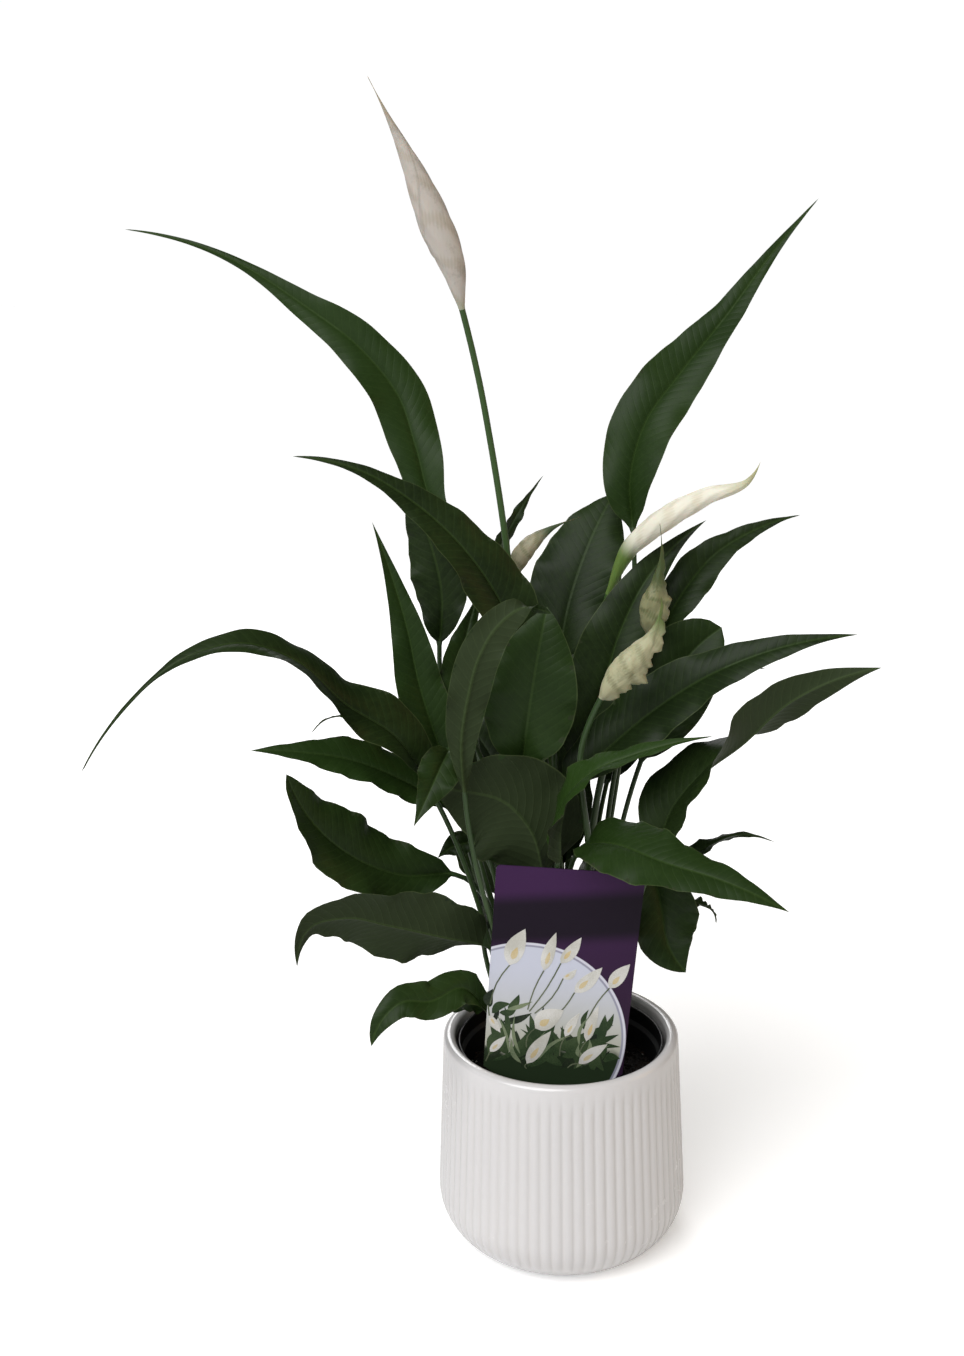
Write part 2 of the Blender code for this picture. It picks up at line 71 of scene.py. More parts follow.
# Pots
POT_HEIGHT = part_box("cover_pot")[1].z
POT_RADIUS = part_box("cover_pot")[1].x
POT_WALL = 7 * MM
POT_FLOOR = 6 * MM
FOOT_RADIUS = 44 * MM
FOOT_HEIGHT = 30 * MM
RIM_RADIUS = 68 * MM
RIM_ROUND = 3 * MM
REEDS = 72
REED_DEPTH = 0.75 * MM
REED_LOW = 9 * MM
REED_HIGH = POT_HEIGHT - 8 * MM
REED_FADE = 7 * MM
POT_SIDES = 8 * REEDS
NURSERY_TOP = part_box("nursery_pot")[1].z
NURSERY_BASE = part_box("nursery_pot")[0].z
NURSERY_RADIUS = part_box("nursery_pot")[1].x
NURSERY_STEP = 2 * MM
NURSERY_WALL = 1.5 * MM
NURSERY_LIP = 10 * MM
NURSERY_FOOT = 42.2 * MM
DRAIN_HOLES = 6
DRAIN_RADIUS = 4 * MM
DRAIN_REACH = 24 * MM

# Soil
SOIL_CROWN = 2 * MM
SOIL_BASE, SOIL_HIGH = (corner.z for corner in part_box("soil"))
SOIL_TOP = SOIL_HIGH - SOIL_CROWN
SOIL_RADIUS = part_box("soil")[1].x

# Label
LABEL_LOW, LABEL_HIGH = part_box("plant_label")
LABEL_Y = (LABEL_LOW.y + LABEL_HIGH.y) / 2
LABEL_THICKNESS = LABEL_HIGH.y - LABEL_LOW.y
LABEL_LEAN = math.radians(5)
LABEL_CENTRE = -5.5 * MM
PRINT_DEPTH = 0.05 * MM
PRINT_STEP = 0.0012 * MM  # from each printed shape to the next one over it
RING_CENTRE = (-19, 11)  # these and the card's other sizes are millimetres across and up from the pot's rim
RING_RADIUS = 57
LABEL_TOP = 113
LABEL_SHOULDER = -7
LABEL_TOP_HALF = 40.5
LABEL_RIM_HALF = 39
LABEL_CORNER = 2.5
LOWEST_PRINT = -6

# Plant
PETIOLE_RADIUS = 1.4 * MM
SHEATH_RADIUS = 2.2 * MM
SCAPE_RADIUS = 1.8 * MM
BLADE_THICKNESS = 0.5 * MM
VEIN_SPACING = 5.5 * MM
VEIN_SLANT = 1.6
BASE_FOLD = 60
TIP_SHARE = 0.15
BLEND_SHARE = 0.07  # share of the blade over which it grows out of its petiole
MARGIN_WAVES = 2.5
RIPPLE_HEIGHT = 1.3 * MM
RIPPLES = 6.5
FLUTTER_HEIGHT = 0.4 * MM
FLUTTERS = 14
QUILT_HEIGHT = 0.16 * MM
QUILT_SPACING = 12 * MM
HALF_POINTS = 9  # from the midrib to a margin, both included
STATION = 3 * MM
ROOTING = 3 * MM  # how far a stem goes into the soil
SPATHE_SIDES = 56
SPATHE_STATION = 1.2 * MM
SPATHE_RISE = 1.3
LIP_ANGLE = math.radians(-75)  # where a faded spathe's torn edge stands out

# Studio
FLOOR_REACH = 120
CAMERA_PLACE = (-0.042, -0.797, 0.542)
CAMERA_DOWN = 14.4
CAMERA_TILT = 1.0


class Leaf(NamedTuple):
    """One leaf. Points are millimetres from the middle of the soil, and angles are degrees."""

    name: str
    spine: tuple  # from the collar, where the petiole ends and the blade starts, to the tip
    half: float  # half the blade's width
    roll: float = 0  # turns the blade about its spine, raising its left margin
    twist: float = 0  # roll added by the tip
    fold: float = 25  # each half's rise from the midrib
    curl: float = 30  # how far a margin bends back down
    rise: float = 0.75  # how fast the blade widens from its collar
    tail: float = 2  # how long it tapers to its tip
    wave: float = 2  # height of the margin's waves


class Flower(NamedTuple):
    """A flower's stalk and rolled spathe, as points in millimetres from the middle of the soil."""

    name: str
    stalk: tuple
    spathe: tuple
    half: float
    belly: float = 0.3  # share of its length where it is widest


LEAVES = (
    Leaf(
        "tall_left",
        (
            (-33, 28, 292), (-68, 43, 327), (-77, 53, 358), (-86, 62, 385), (-107, 67, 412),
            (-138, 72, 436), (-181, 78, 463), (-238, 85, 479),
        ),
        16.5, -58, rise=2.4, tail=4.2, wave=4,
    ),
    Leaf(
        "mid_left",
        (
            (-19, -2, 246), (-32, -5, 282), (-52, -7, 312), (-77, -9, 336),
            (-104, -12, 353), (-138, -14, 361),
        ),
        20, -55, tail=2.6,
    ),
    Leaf(
        "behind_left",
        ((-66, 41, 246), (-64, 41, 276), (-70, 44, 306), (-85, 50, 341)),
        16, -75, fold=15, rise=0.8, tail=1.2,
    ),
    Leaf(
        "upright_left",
        ((-60, 17, 167), (-68, 10, 199), (-77, 11, 231), (-83, 13, 263), (-92, 14, 297), (-100, 14, 322)),
        15, -75, fold=30, rise=0.7, tail=1.8,
    ),
    Leaf(
        "arching_left",
        (
            (-70, -20, 178), (-88, -28, 213), (-114, -38, 235), (-136, -48, 260), (-163, -60, 273),
            (-192, -72, 267), (-219, -82, 245), (-240, -90, 216),
        ),
        18, -50, twist=45, rise=0.8, tail=3, wave=3,
    ),
    Leaf("thin_left", ((-73, -9, 195), (-119, 6, 216), (-131, 14, 211), (-139, 18, 202)), 4, 0),
    Leaf(
        "level_left",
        ((-61, -3, 163), (-87, -12, 184), (-113, -20, 198), (-139, -30, 206), (-165, -35, 209)),
        14, -45, tail=1.4,
    ),
    Leaf("small_drooping", ((-60, -26, 205), (-70, -44, 189), (-79, -55, 172)), 12, -60),
    Leaf(
        "front_broad",
        ((-10, -21, 129), (-18, -23, 159), (-32, -25, 175), (-51, -29, 182), (-68, -34, 186)),
        33, 80, fold=8, rise=0.6, tail=0.9,
    ),
    Leaf(
        "low_left",
        ((-59, -10, 127), (-88, -24, 133), (-115, -38, 151), (-135, -49, 177), (-144, -55, 202)),
        22, -50, rise=0.8, tail=0.9, wave=3,
    ),
    Leaf(
        "over_rim_left",
        (
            (-41, -16, 86), (-67, -34, 101), (-94, -46, 113), (-117, -56, 122),
            (-134, -62, 120), (-142, -66, 99),
        ),
        27, 62, fold=18, tail=1.4,
    ),
    Leaf(
        "rim_curl_left",
        ((-41, -26, 50), (-57, -36, 71), (-73, -46, 68), (-89, -53, 71), (-100, -58, 62), (-105, -60, 49)),
        11, -50, tail=1,
    ),
    Leaf("rim_small_left", ((-42, -12, 48), (-60, -20, 53), (-78, -26, 52)), 8, -30),
    Leaf("short_left", ((-50, 15, 137), (-61, 12, 135), (-69, 8, 130)), 8, -70),
    Leaf(
        "centre_crescent",
        (
            (-52, -43, 184), (-53, -46, 217), (-49, -49, 241), (-43, -51, 262),
            (-34, -51, 277), (-21, -49, 286), (-6, -45, 282),
        ),
        11, 0, fold=15, rise=0.9, tail=0.8,
    ),
    Leaf(
        "centre_broad",
        ((-21, -18, 193), (-17, -25, 227), (-12, -24, 257), (-7, -18, 280)),
        25, 180, fold=15, rise=0.6, tail=0.9,
    ),
    Leaf("centre_rear_left", ((-55, 16, 216), (-52, 20, 249), (-43, 28, 279)), 13, -50),
    Leaf("rear_narrow", ((-36, 78, 284), (-27, 88, 301), (-17, 96, 317), (-3, 105, 335)), 5, 30),
    Leaf(
        "rear_centre",
        ((2, 44, 233), (8, 54, 264), (18, 64, 292), (37, 84, 326)),
        26, 10, fold=12, rise=0.7, tail=0.9,
    ),
    Leaf(
        "tall_right",
        (
            (46, 56, 304), (44, 60, 338), (53, 67, 368), (74, 78, 395),
            (102, 93, 426), (130, 109, 460), (159, 122, 491),
        ),
        20, 35, rise=0.9, tail=2.6, wave=3,
    ),
    Leaf(
        "mid_right",
        ((57, 34, 248), (72, 41, 274), (90, 48, 294), (113, 54, 307), (142, 60, 315)),
        13, 45,
    ),
    Leaf(
        "centre_right",
        ((7, 9, 184), (24, 16, 222), (35, 23, 256), (53, 31, 288), (85, 40, 316)),
        22, 50, rise=0.7, tail=1.8,
    ),
    Leaf(
        "rear_right",
        ((47, 16, 183), (59, 20, 213), (72, 24, 239), (93, 28, 257)),
        24, 60, rise=0.7, tail=0.6,
    ),
    Leaf(
        "front_right",
        ((0, -11, 176), (22, -14, 197), (48, -18, 221), (80, -25, 244), (116, -30, 259), (155, -30, 265)),
        20, 50, rise=0.7, tail=1.8,
    ),
    Leaf("thin_right", ((54, 12, 224), (78, 6, 242), (97, 4, 241), (114, 3, 239)), 4, 0),
    Leaf(
        "front_curved",
        ((-3, -32, 139), (-2, -35, 166), (4, -42, 186), (15, -47, 198), (35, -49, 207), (77, -50, 217)),
        15, 30, fold=25, rise=0.7,
    ),
    Leaf(
        "long_right",
        ((52, -20, 143), (61, -22, 170), (75, -26, 189), (95, -30, 206), (119, -35, 230), (165, -42, 250)),
        27, 75, twist=-190, tail=1.6,
    ),
    Leaf("narrow_right", ((54, 18, 110), (80, 14, 129), (102, 10, 140), (123, 8, 136)), 6, 20),
    Leaf(
        "over_label",
        ((12, -34, 152), (27, -65, 164), (49, -87, 162), (75, -99, 157), (108, -105, 142)),
        20, 25, fold=12, rise=0.6, tail=1.5,
    ),
    Leaf("low_right", ((53, 8, 121), (58, -2, 99), (60, -10, 84), (70, -16, 68)), 20, 60, rise=0.7, tail=1),
    Leaf("curl_right", ((70, 10, 103), (80, 8, 100), (88, 6, 96), (90, 5, 88)), 4, 0),
    Leaf("behind_label", ((-44, 2, 81), (-45, 4, 103), (-50, 4, 127)), 9, 0),
    Leaf("back_left", ((-20, 48, 140), (-52, 90, 185), (-78, 135, 175)), 28, 0),
    Leaf("back_middle", ((5, 55, 170), (10, 105, 225), (15, 165, 215)), 30, 0),
    Leaf("back_right", ((30, 45, 160), (48, 80, 205), (58, 118, 212)), 24, 0),
    Leaf("back_low_left", ((-28, 45, 85), (-48, 85, 112), (-65, 125, 95)), 24, 0),
    Leaf("back_low_right", ((24, 50, 80), (44, 95, 98), (58, 138, 80)), 20, 0),
    Leaf(
        "centre_low",
        ((-3, 18, 118), (-2, 21, 146), (-1, 24, 169), (2, 27, 192), (6, 29, 215)),
        22, 0, fold=12, rise=0.6, tail=0.9,
    ),
)

FLOWERS = (
    Flower(
        "tall",
        ((-35, 14, 362), (-40, 12, 392)),
        ((-49, 6, 433), (-53, 3, 453), (-62, 0, 477), (-73, -4, 504), (-84, -7, 527), (-93, -10, 545)),
        6.8,
        0.36,
    ),
    Flower("bud", ((-1, 14, 150),), ((-24, 30, 287), (-19, 29, 300), (-9, 29, 310), (14, 31, 320)), 4),
    Flower(
        "open",
        ((14, 34, 200),),
        ((30, 39, 275), (42, 31, 303), (59, 23, 319), (82, 15, 333), (102, 9, 341), (108, 6, 352)),
        5.2,
        0.5,
    ),
    Flower(
        "faded_upper",
        ((28, -2, 200),),
        ((49, 3, 260), (50, 2, 269), (51, 1, 278), (53, 0, 289), (55, 0, 303), (54, 0, 321)),
        5.5, 0.22,
    ),
    Flower(
        "faded_lower",
        ((15, -20, 140), (12, -35, 215)),
        ((20, -38, 235), (27, -40, 246), (36, -41, 257), (44, -43, 267), (48, -43, 275), (50, -43, 290)),
        5.5, 0.33,
    ),
)


def clear_startup():
    for thing in list(bpy.data.objects):
        if thing.type in ("CAMERA", "LIGHT") or thing.name == "Cube":
            bpy.data.objects.remove(thing)


# ---------------------------------------------------------------- shading


def live(sockets):
    """The one socket that a node with several kinds of socket has in use."""
    return next(one for one in sockets if one.enabled)


class Shader:
    """Adds nodes to a tree in short calls. A value is a number, a tuple or another node's output."""

    def __init__(self, tree):
        self.tree = tree

    def feed(self, socket, value):
        if isinstance(value, bpy.types.NodeSocket):
            self.tree.links.new(value, socket)
        else:
            socket.default_value = value

    def node(self, kind, inputs=None, **settings):
        made = self.tree.nodes.new(kind)
        for key, value in settings.items():
            setattr(made, key, value)
        for key, value in (inputs or {}).items():
            self.feed(made.inputs[key], value)
        return made

    def math(self, operation, first, second=0.0, third=0.0):
        values = {0: first, 1: second, 2: third}
        return self.node("ShaderNodeMath", values, operation=operation).outputs[0]

    def times(self, first, second):
        return self.math("MULTIPLY", first, second)

    def mask(self, value, low, high):
        """0 below low and 1 above high, or the other way round if high is less."""
        values = {"Value": value, "From Min": low, "From Max": high}
        return self.node("ShaderNodeMapRange", values, interpolation_type="SMOOTHSTEP").outputs["Result"]

    def mix(self, share, first, second):
        made = self.node("ShaderNodeMix", data_type="RGBA")
        for key, value in (("Factor", share), ("A", first), ("B", second)):
            socket = live([one for one in made.inputs if one.name == key])
            self.feed(socket, (*value, 1.0) if isinstance(value, tuple) else value)
        return live(made.outputs)

    def attribute(self, name):
        return self.node("ShaderNodeAttribute", attribute_name=name).outputs["Fac"]

    def noise(self, vector, scale, detail=3.0, roughness=0.5):
        values = {"Vector": vector, "Scale": scale, "Detail": detail, "Roughness": roughness}
        return self.node("ShaderNodeTexNoise", values).outputs["Fac"]

    def stretched(self, vector, scale):
        return self.node("ShaderNodeMapping", {"Vector": vector, "Scale": scale}).outputs["Vector"]

    def coordinates(self):
        return self.node("ShaderNodeTexCoord").outputs["Object"]

    def uv(self, name):
        return self.node("ShaderNodeUVMap", uv_map=name).outputs["UV"]

    def separate(self, vector):
        return self.node("ShaderNodeSeparateXYZ", {"Vector": vector}).outputs

    def bump(self, height, strength, distance):
        values = {"Height": height, "Strength": strength, "Distance": distance}
        return self.node("ShaderNodeBump", values).outputs["Normal"]

    def use(self, group, inputs):
        return self.node("ShaderNodeGroup", inputs, node_tree=group).outputs

    def mottle(self, vector, coarse, fine):
        return self.use(MOTTLE, {"Vector": vector, "Coarse": coarse, "Fine": fine})["Value"]

    def blade_veins(self, rib_width):
        sizes = {"Spacing": VEIN_SPACING, "Slant": VEIN_SLANT, "Rib Width": rib_width}
        return self.use(VEINS, {"Vector": self.uv("blade"), **sizes})

    def pale_edge(self, green):
        """A leaf's green with the thin paler line that runs round its margin."""
        edge = self.mask(self.attribute("margin"), 0.965, 0.995)
        return self.mix(self.times(edge, 0.5), green, (0.09, 0.12, 0.045))


def new_material(name, **sockets):
    """A Principled material and its node writer. Sockets that are the same all over are set here."""
    made = bpy.data.materials.new(name)
    made.use_nodes = True
    writer = Shader(made.node_tree)
    principled = made.node_tree.nodes["Principled BSDF"]
    for key, value in sockets.items():
        principled.inputs[key.replace("_", " ")].default_value = value
    made.node_tree["principled"] = principled.name
    return made, writer


def finish_material(made, **outputs):
    principled = made.node_tree.nodes[made.node_tree["principled"]]
    for key, output in outputs.items():
        made.node_tree.links.new(output, principled.inputs[key.replace("_", " ")])
    return made


def add_inputs(tree, inputs):
    """Named inputs for a node group, each as its name, kind and value."""
    for label, kind, value in inputs:
        socket = tree.interface.new_socket(name=label, in_out="INPUT", socket_type="NodeSocket" + kind)
        if value is not None:
            socket.default_value = value


def new_group(name, inputs, outputs):
    """A shader node group with named sockets, its writer, its inputs and its outputs."""
    tree = bpy.data.node_groups.new(name, "ShaderNodeTree")
    add_inputs(tree, inputs)
    for label, kind in outputs:
        tree.interface.new_socket(name=label, in_out="OUTPUT", socket_type="NodeSocket" + kind)
    writer = Shader(tree)
    return tree, writer, writer.node("NodeGroupInput").outputs, writer.node("NodeGroupOutput").inputs


def mottle_group():
    """Soft and fine patches that vary a colour or a roughness, as a value about 0.5."""
    inputs = [("Vector", "Vector", None), ("Coarse", "Float", 20.0), ("Fine", "Float", 300.0)]
    tree, writer, given, wanted = new_group("mottle", inputs, [("Value", "Float")])
    coarse = writer.noise(given["Vector"], given["Coarse"], 2.0)
    fine = writer.noise(given["Vector"], given["Fine"], 4.0, 0.6)
    both = writer.math("MULTIPLY_ADD", fine, 0.4, writer.times(coarse, 0.6))
    tree.links.new(both, wanted["Value"])
    return tree


def veins_group():
    """Side veins that leave a midrib at a slant, from across and along distances in metres."""
    inputs = [
        ("Vector", "Vector", None),
        ("Spacing", "Float", 0.005),
        ("Slant", "Float", 1.0),
        ("Rib Width", "Float", 0.001),
    ]
    outputs = [("Vein", "Float"), ("Rib", "Float"), ("Height", "Float")]
    tree, writer, given, wanted = new_group("veins", inputs, outputs)
    across, along = writer.separate(given["Vector"])[0:2]
    away = writer.math("ABSOLUTE", across)
    wander = writer.times(writer.noise(given["Vector"], 60.0, 2.0), 0.003)
    climb = writer.times(writer.math("POWER", away, 1.15), given["Slant"])
    level = writer.math("ADD", writer.math("SUBTRACT", along, climb), wander)
    wave = writer.math("COSINE", writer.times(writer.math("DIVIDE", level, given["Spacing"]), math.tau))
    vein = writer.mask(wave, 0.80, 1.0)
    rib = writer.mask(writer.math("DIVIDE", away, given["Rib Width"]), 1.0, 0.4)
    tree.links.new(vein, wanted["Vein"])
    tree.links.new(rib, wanted["Rib"])
    tree.links.new(writer.math("MULTIPLY_ADD", wave, 0.35, vein), wanted["Height"])
    return tree


MOTTLE = mottle_group()
VEINS = veins_group()


def leaf_upper():
    made, w = new_material("leaf upper side", Specular_IOR_Level=0.15, Coat_Weight=0.03, Coat_Roughness=0.35)
    place = w.coordinates()
    veins = w.blade_veins(1.0 * MM)
    patches = w.mottle(place, 22.0, 260.0)
    green = w.mix(w.mask(patches, 0.35, 0.65), (0.0070, 0.0155, 0.0028), (0.0155, 0.0305, 0.0060))
    green = w.mix(w.attribute("tone"), green, (0.022, 0.053, 0.008))
    green = w.mix(w.times(veins["Vein"], 0.12), green, (0.040, 0.075, 0.020))
    green = w.mix(w.times(veins["Rib"], 0.32), green, (0.045, 0.082, 0.018))
    green = w.pale_edge(green)
    rough = w.math("MULTIPLY_ADD", patches, 0.25, 0.36)
    normal = w.bump(w.math("SUBTRACT", 1.0, veins["Height"]), 0.2, 0.0004)
    return finish_material(made, Base_Color=green, Roughness=rough, Normal=normal)


def leaf_under():
    made, w = new_material("leaf underside", Specular_IOR_Level=0.12)
    veins = w.blade_veins(1.2 * MM)
    patches = w.mottle(w.coordinates(), 25.0, 400.0)
    green = w.mix(patches, (0.018, 0.029, 0.010), (0.031, 0.045, 0.018))
    green = w.mix(w.times(veins["Vein"], 0.12), green, (0.060, 0.088, 0.035))
    green = w.mix(w.times(veins["Rib"], 0.32), green, (0.060, 0.095, 0.030))
    green = w.pale_edge(green)
    rough = w.math("MULTIPLY_ADD", patches, 0.2, 0.55)
    normal = w.bump(veins["Height"], 0.3, 0.0004)
    return finish_material(made, Base_Color=green, Roughness=rough, Normal=normal)


def stem_material(name, low, high):
    """A stem that is paler at its foot, with fine lengthwise streaks."""
    made, w = new_material(name, Specular_IOR_Level=0.4)
    streaks = w.noise(w.stretched(w.coordinates(), (900.0, 900.0, 25.0)), 1.0, 3.0)
    patches = w.mottle(w.coordinates(), 30.0, 500.0)
    green = w.mix(w.attribute("along"), low, high)
    green = w.mix(w.times(streaks, 0.5), green, tuple(value * 0.45 for value in high))
    rough = w.math("MULTIPLY_ADD", patches, 0.3, 0.28)
    normal = w.bump(streaks, 0.25, 0.0003)
    return finish_material(made, Base_Color=green, Roughness=rough, Normal=normal)


def spathe_material(name, base, body, painted_shade, tip, base_end, tip_start, speckle):
    """A spathe from its green neck over its body to its tip, with lengthwise veins, stains and painted shade
    darkening its creases.
    """
    made, w = new_material(name, Specular_IOR_Level=0.3, Subsurface_Weight=0.12, Subsurface_Scale=0.004)
    around, along = w.separate(w.uv("blade"))[0:2]
    place = w.coordinates()
    patches = w.mottle(place, 90.0, 700.0)
    wander = w.times(w.noise(place, 70.0, 2.0), 5.0)
    winding = w.math("ADD", w.math("MULTIPLY_ADD", around, 9.0, w.times(along, 44.0)), wander)
    creases = w.math("SINE", winding)
    veins = w.math("SINE", w.math("MULTIPLY_ADD", around, 150.0, w.times(along, 14.0)))
    lines = w.math("MULTIPLY_ADD", veins, 0.25, creases)
    # Painted shade: the body darkens towards the painted shade colour along the winding creases and the fine
    # lengthwise veins
    colour = w.mix(w.times(w.mask(lines, 0.1, 1.2), 0.7), body, painted_shade)
    stain = tuple(value * 0.55 for value in painted_shade)
    colour = w.mix(w.times(w.mask(patches, 0.5, 0.68), speckle), colour, stain)
    colour = w.mix(w.mask(along, base_end, base_end - 0.14), colour, base)
    colour = w.mix(w.mask(along, tip_start, tip_start + 0.22), colour, tip)
    rough = w.math("MULTIPLY_ADD", patches, 0.3, 0.35)
    normal = w.bump(w.math("ADD", w.times(lines, 0.4), patches), 0.3, 0.0006)
    return finish_material(made, Base_Color=colour, Roughness=rough, Normal=normal)


def glaze_material():
    made, w = new_material("white glaze", Coat_Weight=0.55, Coat_Roughness=0.12, Specular_IOR_Level=0.5)
    place = w.coordinates()
    patches = w.mottle(place, 14.0, 160.0)
    groove = w.attribute("groove")
    white = w.mix(patches, (0.635, 0.620, 0.622), (0.695, 0.680, 0.680))
    # Painted shade: each reed groove darkens towards a warm grey with its depth
    white = w.mix(w.times(groove, 0.25), white, (0.50, 0.465, 0.435))
    pits = w.mask(w.noise(place, 900.0, 2.0), 0.74, 0.80)
    white = w.mix(w.times(pits, 0.25), white, (0.55, 0.50, 0.46))
    rough = w.math("MULTIPLY_ADD", patches, 0.15, 0.18)
    normal = w.bump(w.noise(place, 130.0, 2.0), 0.12, 0.0008)
    return finish_material(made, Base_Color=white, Roughness=rough, Normal=normal)


def plastic_material():
    made, w = new_material("black plastic", Specular_IOR_Level=0.4)
    place = w.coordinates()
    patches = w.mottle(place, 40.0, 900.0)
    dust = w.mask(w.noise(place, 55.0, 5.0, 0.7), 0.52, 0.75)
    black = w.mix(w.times(dust, 0.35), (0.006, 0.006, 0.007), (0.045, 0.036, 0.028))
    rough = w.math("MULTIPLY_ADD", patches, 0.3, 0.28)
    return finish_material(made, Base_Color=black, Roughness=rough, Normal=w.bump(patches, 0.2, 0.0003))


def soil_material(name, dark, light):
    made, w = new_material(name, Specular_IOR_Level=0.2)
    place = w.coordinates()
    patches = w.mottle(place, 120.0, 900.0)
    brown = w.mix(w.mask(patches, 0.4, 0.65), dark, light)
    rough = w.math("MULTIPLY_ADD", patches, 0.2, 0.75)
    normal = w.bump(w.noise(place, 700.0, 6.0, 0.7), 0.8, 0.001)
    return finish_material(made, Base_Color=brown, Roughness=rough, Normal=normal)


def ink_material(name, first, second, **sockets):
    """Printed colour with a fine grain, under the card's clear film."""
    made, w = new_material(name, Coat_Weight=0.04, Coat_Roughness=0.25, Specular_IOR_Level=0.12, **sockets)
    place = w.coordinates()
    patches = w.mottle(place, 70.0, 1200.0)
    colour = w.mix(w.mask(patches, 0.35, 0.65), first, second)
    return finish_material(made, Base_Color=colour, Roughness=w.math("MULTIPLY_ADD", patches, 0.1, 0.3))


def card_material():
    """The card's print: purple with a darker upper band, and a pale disc in a white ring."""
    made, w = new_material("label card", Coat_Weight=0.04, Coat_Roughness=0.25, Specular_IOR_Level=0.12)
    card = w.uv("card")
    across, up = w.separate(card)[0:2]
    grain = w.mottle(card, 8.0, 150.0)
    purple = w.mix(w.mask(up, 0.1, 1.1), (0.026, 0.011, 0.030), (0.043, 0.014, 0.060))
    sweep = w.math("MULTIPLY_ADD", across, -0.12, up)
    band = w.times(w.mask(sweep, 0.66, 0.76), w.mask(sweep, 1.03, 0.93))
    purple = w.mix(w.times(band, 0.9), purple, (0.006, 0.004, 0.008))
    x = w.math("SUBTRACT", across, RING_CENTRE[0] / 100)
    y = w.math("SUBTRACT", up, RING_CENTRE[1] / 100)
    reach = w.math("SQRT", w.math("ADD", w.times(x, x), w.times(y, y)))
    radius = RING_RADIUS / 100
    paper = w.mix(w.mask(up, 0.0, 0.6), (0.47, 0.47, 0.39), (0.56, 0.58, 0.68))
    ragged = w.math("MULTIPLY_ADD", w.noise(card, 9.0, 3.0), 0.30, up)
    paper = w.mix(w.mask(ragged, 0.26, 0.16), paper, (0.020, 0.034, 0.016))
    colour = w.mix(w.mask(reach, radius, radius - 0.006), purple, (0.30, 0.30, 0.38))
    colour = w.mix(w.mask(reach, radius - 0.012, radius - 0.018), colour, paper)
    within = w.mask(reach, radius + 0.012, radius + 0.008)
    ring = w.times(within, w.mask(reach, radius - 0.006, radius - 0.002))
    colour = w.mix(ring, colour, (0.62, 0.62, 0.70))
    rough = w.math("MULTIPLY_ADD", grain, 0.1, 0.28)
    return finish_material(made, Base_Color=colour, Roughness=rough)


# ---------------------------------------------------------------- meshes


def add_object(name, mesh, materials=(), smooth=True):
    thing = bpy.data.objects.new(name, mesh)
    bpy.context.scene.collection.objects.link(thing)
    for one in materials:
        mesh.materials.append(one)
    if smooth:
        mesh.shade_smooth()
    return thing


def place_piece(thing, slot, *nodes):
    """Ties a finished piece to the frame."""
    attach(thing, "root")
    if nodes:
        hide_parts(*nodes)


def arc(centre, radii, start, end, steps):
    """Points on part of an ellipse in a profile's plane, as (radius, height)."""
    for step in range(steps + 1):
        angle = math.radians(start + (end - start) * step / steps)
        yield centre[0] + radii[0] * math.cos(angle), centre[1] + radii[1] * math.sin(angle)


def line(start, end, steps):
    """Points strictly between two ends."""
    for step in range(1, steps):
        share = step / steps
        yield start[0] + (end[0] - start[0]) * share, start[1] + (end[1] - start[1]) * share


def closed_mesh(name, shape):
    """A mesh from a working shape, with its faces turned outwards."""
    bmesh.ops.recalc_face_normals(shape, faces=shape.faces)
    mesh = bpy.data.meshes.new(name)
    shape.to_mesh(mesh)
    shape.free()
    return mesh


def bake_modifiers(thing):
    """Leaves a plain mesh of a piece as its modifiers make it."""
    bpy.context.view_layer.update()
    graph = bpy.context.evaluated_depsgraph_get()
    thing.data = bpy.data.meshes.new_from_object(thing.evaluated_get(graph))
    thing.modifiers.clear()


def turned(name, profile, sides, materials):
    """A profile from the axis to the axis turned about Z, closed and facing outwards."""
    shape = bmesh.new()
    angles = [math.tau * side / sides for side in range(sides)]
    rows = []
    for radius, height in profile:
        if radius < 1e-6:
            rows.append([shape.verts.new((0, 0, height))])
        else:
            circle = [(radius * math.cos(angle), radius * math.sin(angle), height) for angle in angles]
            rows.append([shape.verts.new(point) for point in circle])
    for lower, upper in zip(rows, rows[1:]):
        for side in range(sides):
            after = (side + 1) % sides
            corners = [lower[side % len(lower)], lower[after % len(lower)]]
            corners += [upper[after % len(upper)], upper[side % len(upper)]]
            shape.faces.new(list(dict.fromkeys(corners)))
    return add_object(name, closed_mesh(name, shape), materials)


def geometry_tree(name, inputs):
    """A geometry node tree with named inputs, and its writer."""
    tree = bpy.data.node_groups.new(name, "GeometryNodeTree")
    tree.interface.new_socket(name="Geometry", in_out="INPUT", socket_type="NodeSocketGeometry")
    add_inputs(tree, inputs)
    tree.interface.new_socket(name="Geometry", in_out="OUTPUT", socket_type="NodeSocketGeometry")
    writer = Shader(tree)
    return tree, writer, writer.node("NodeGroupInput").outputs


def run_tree(thing, tree, values):
    """Applies a geometry node tree to a piece and leaves a plain mesh."""
    modifier = thing.modifiers.new("Make", "NODES")
    modifier.node_group = tree
    for item in tree.interface.items_tree:
        if item.item_type == "SOCKET" and item.in_out == "INPUT" and item.name in values:
            modifier[item.identifier] = values[item.name]
    bake_modifiers(thing)


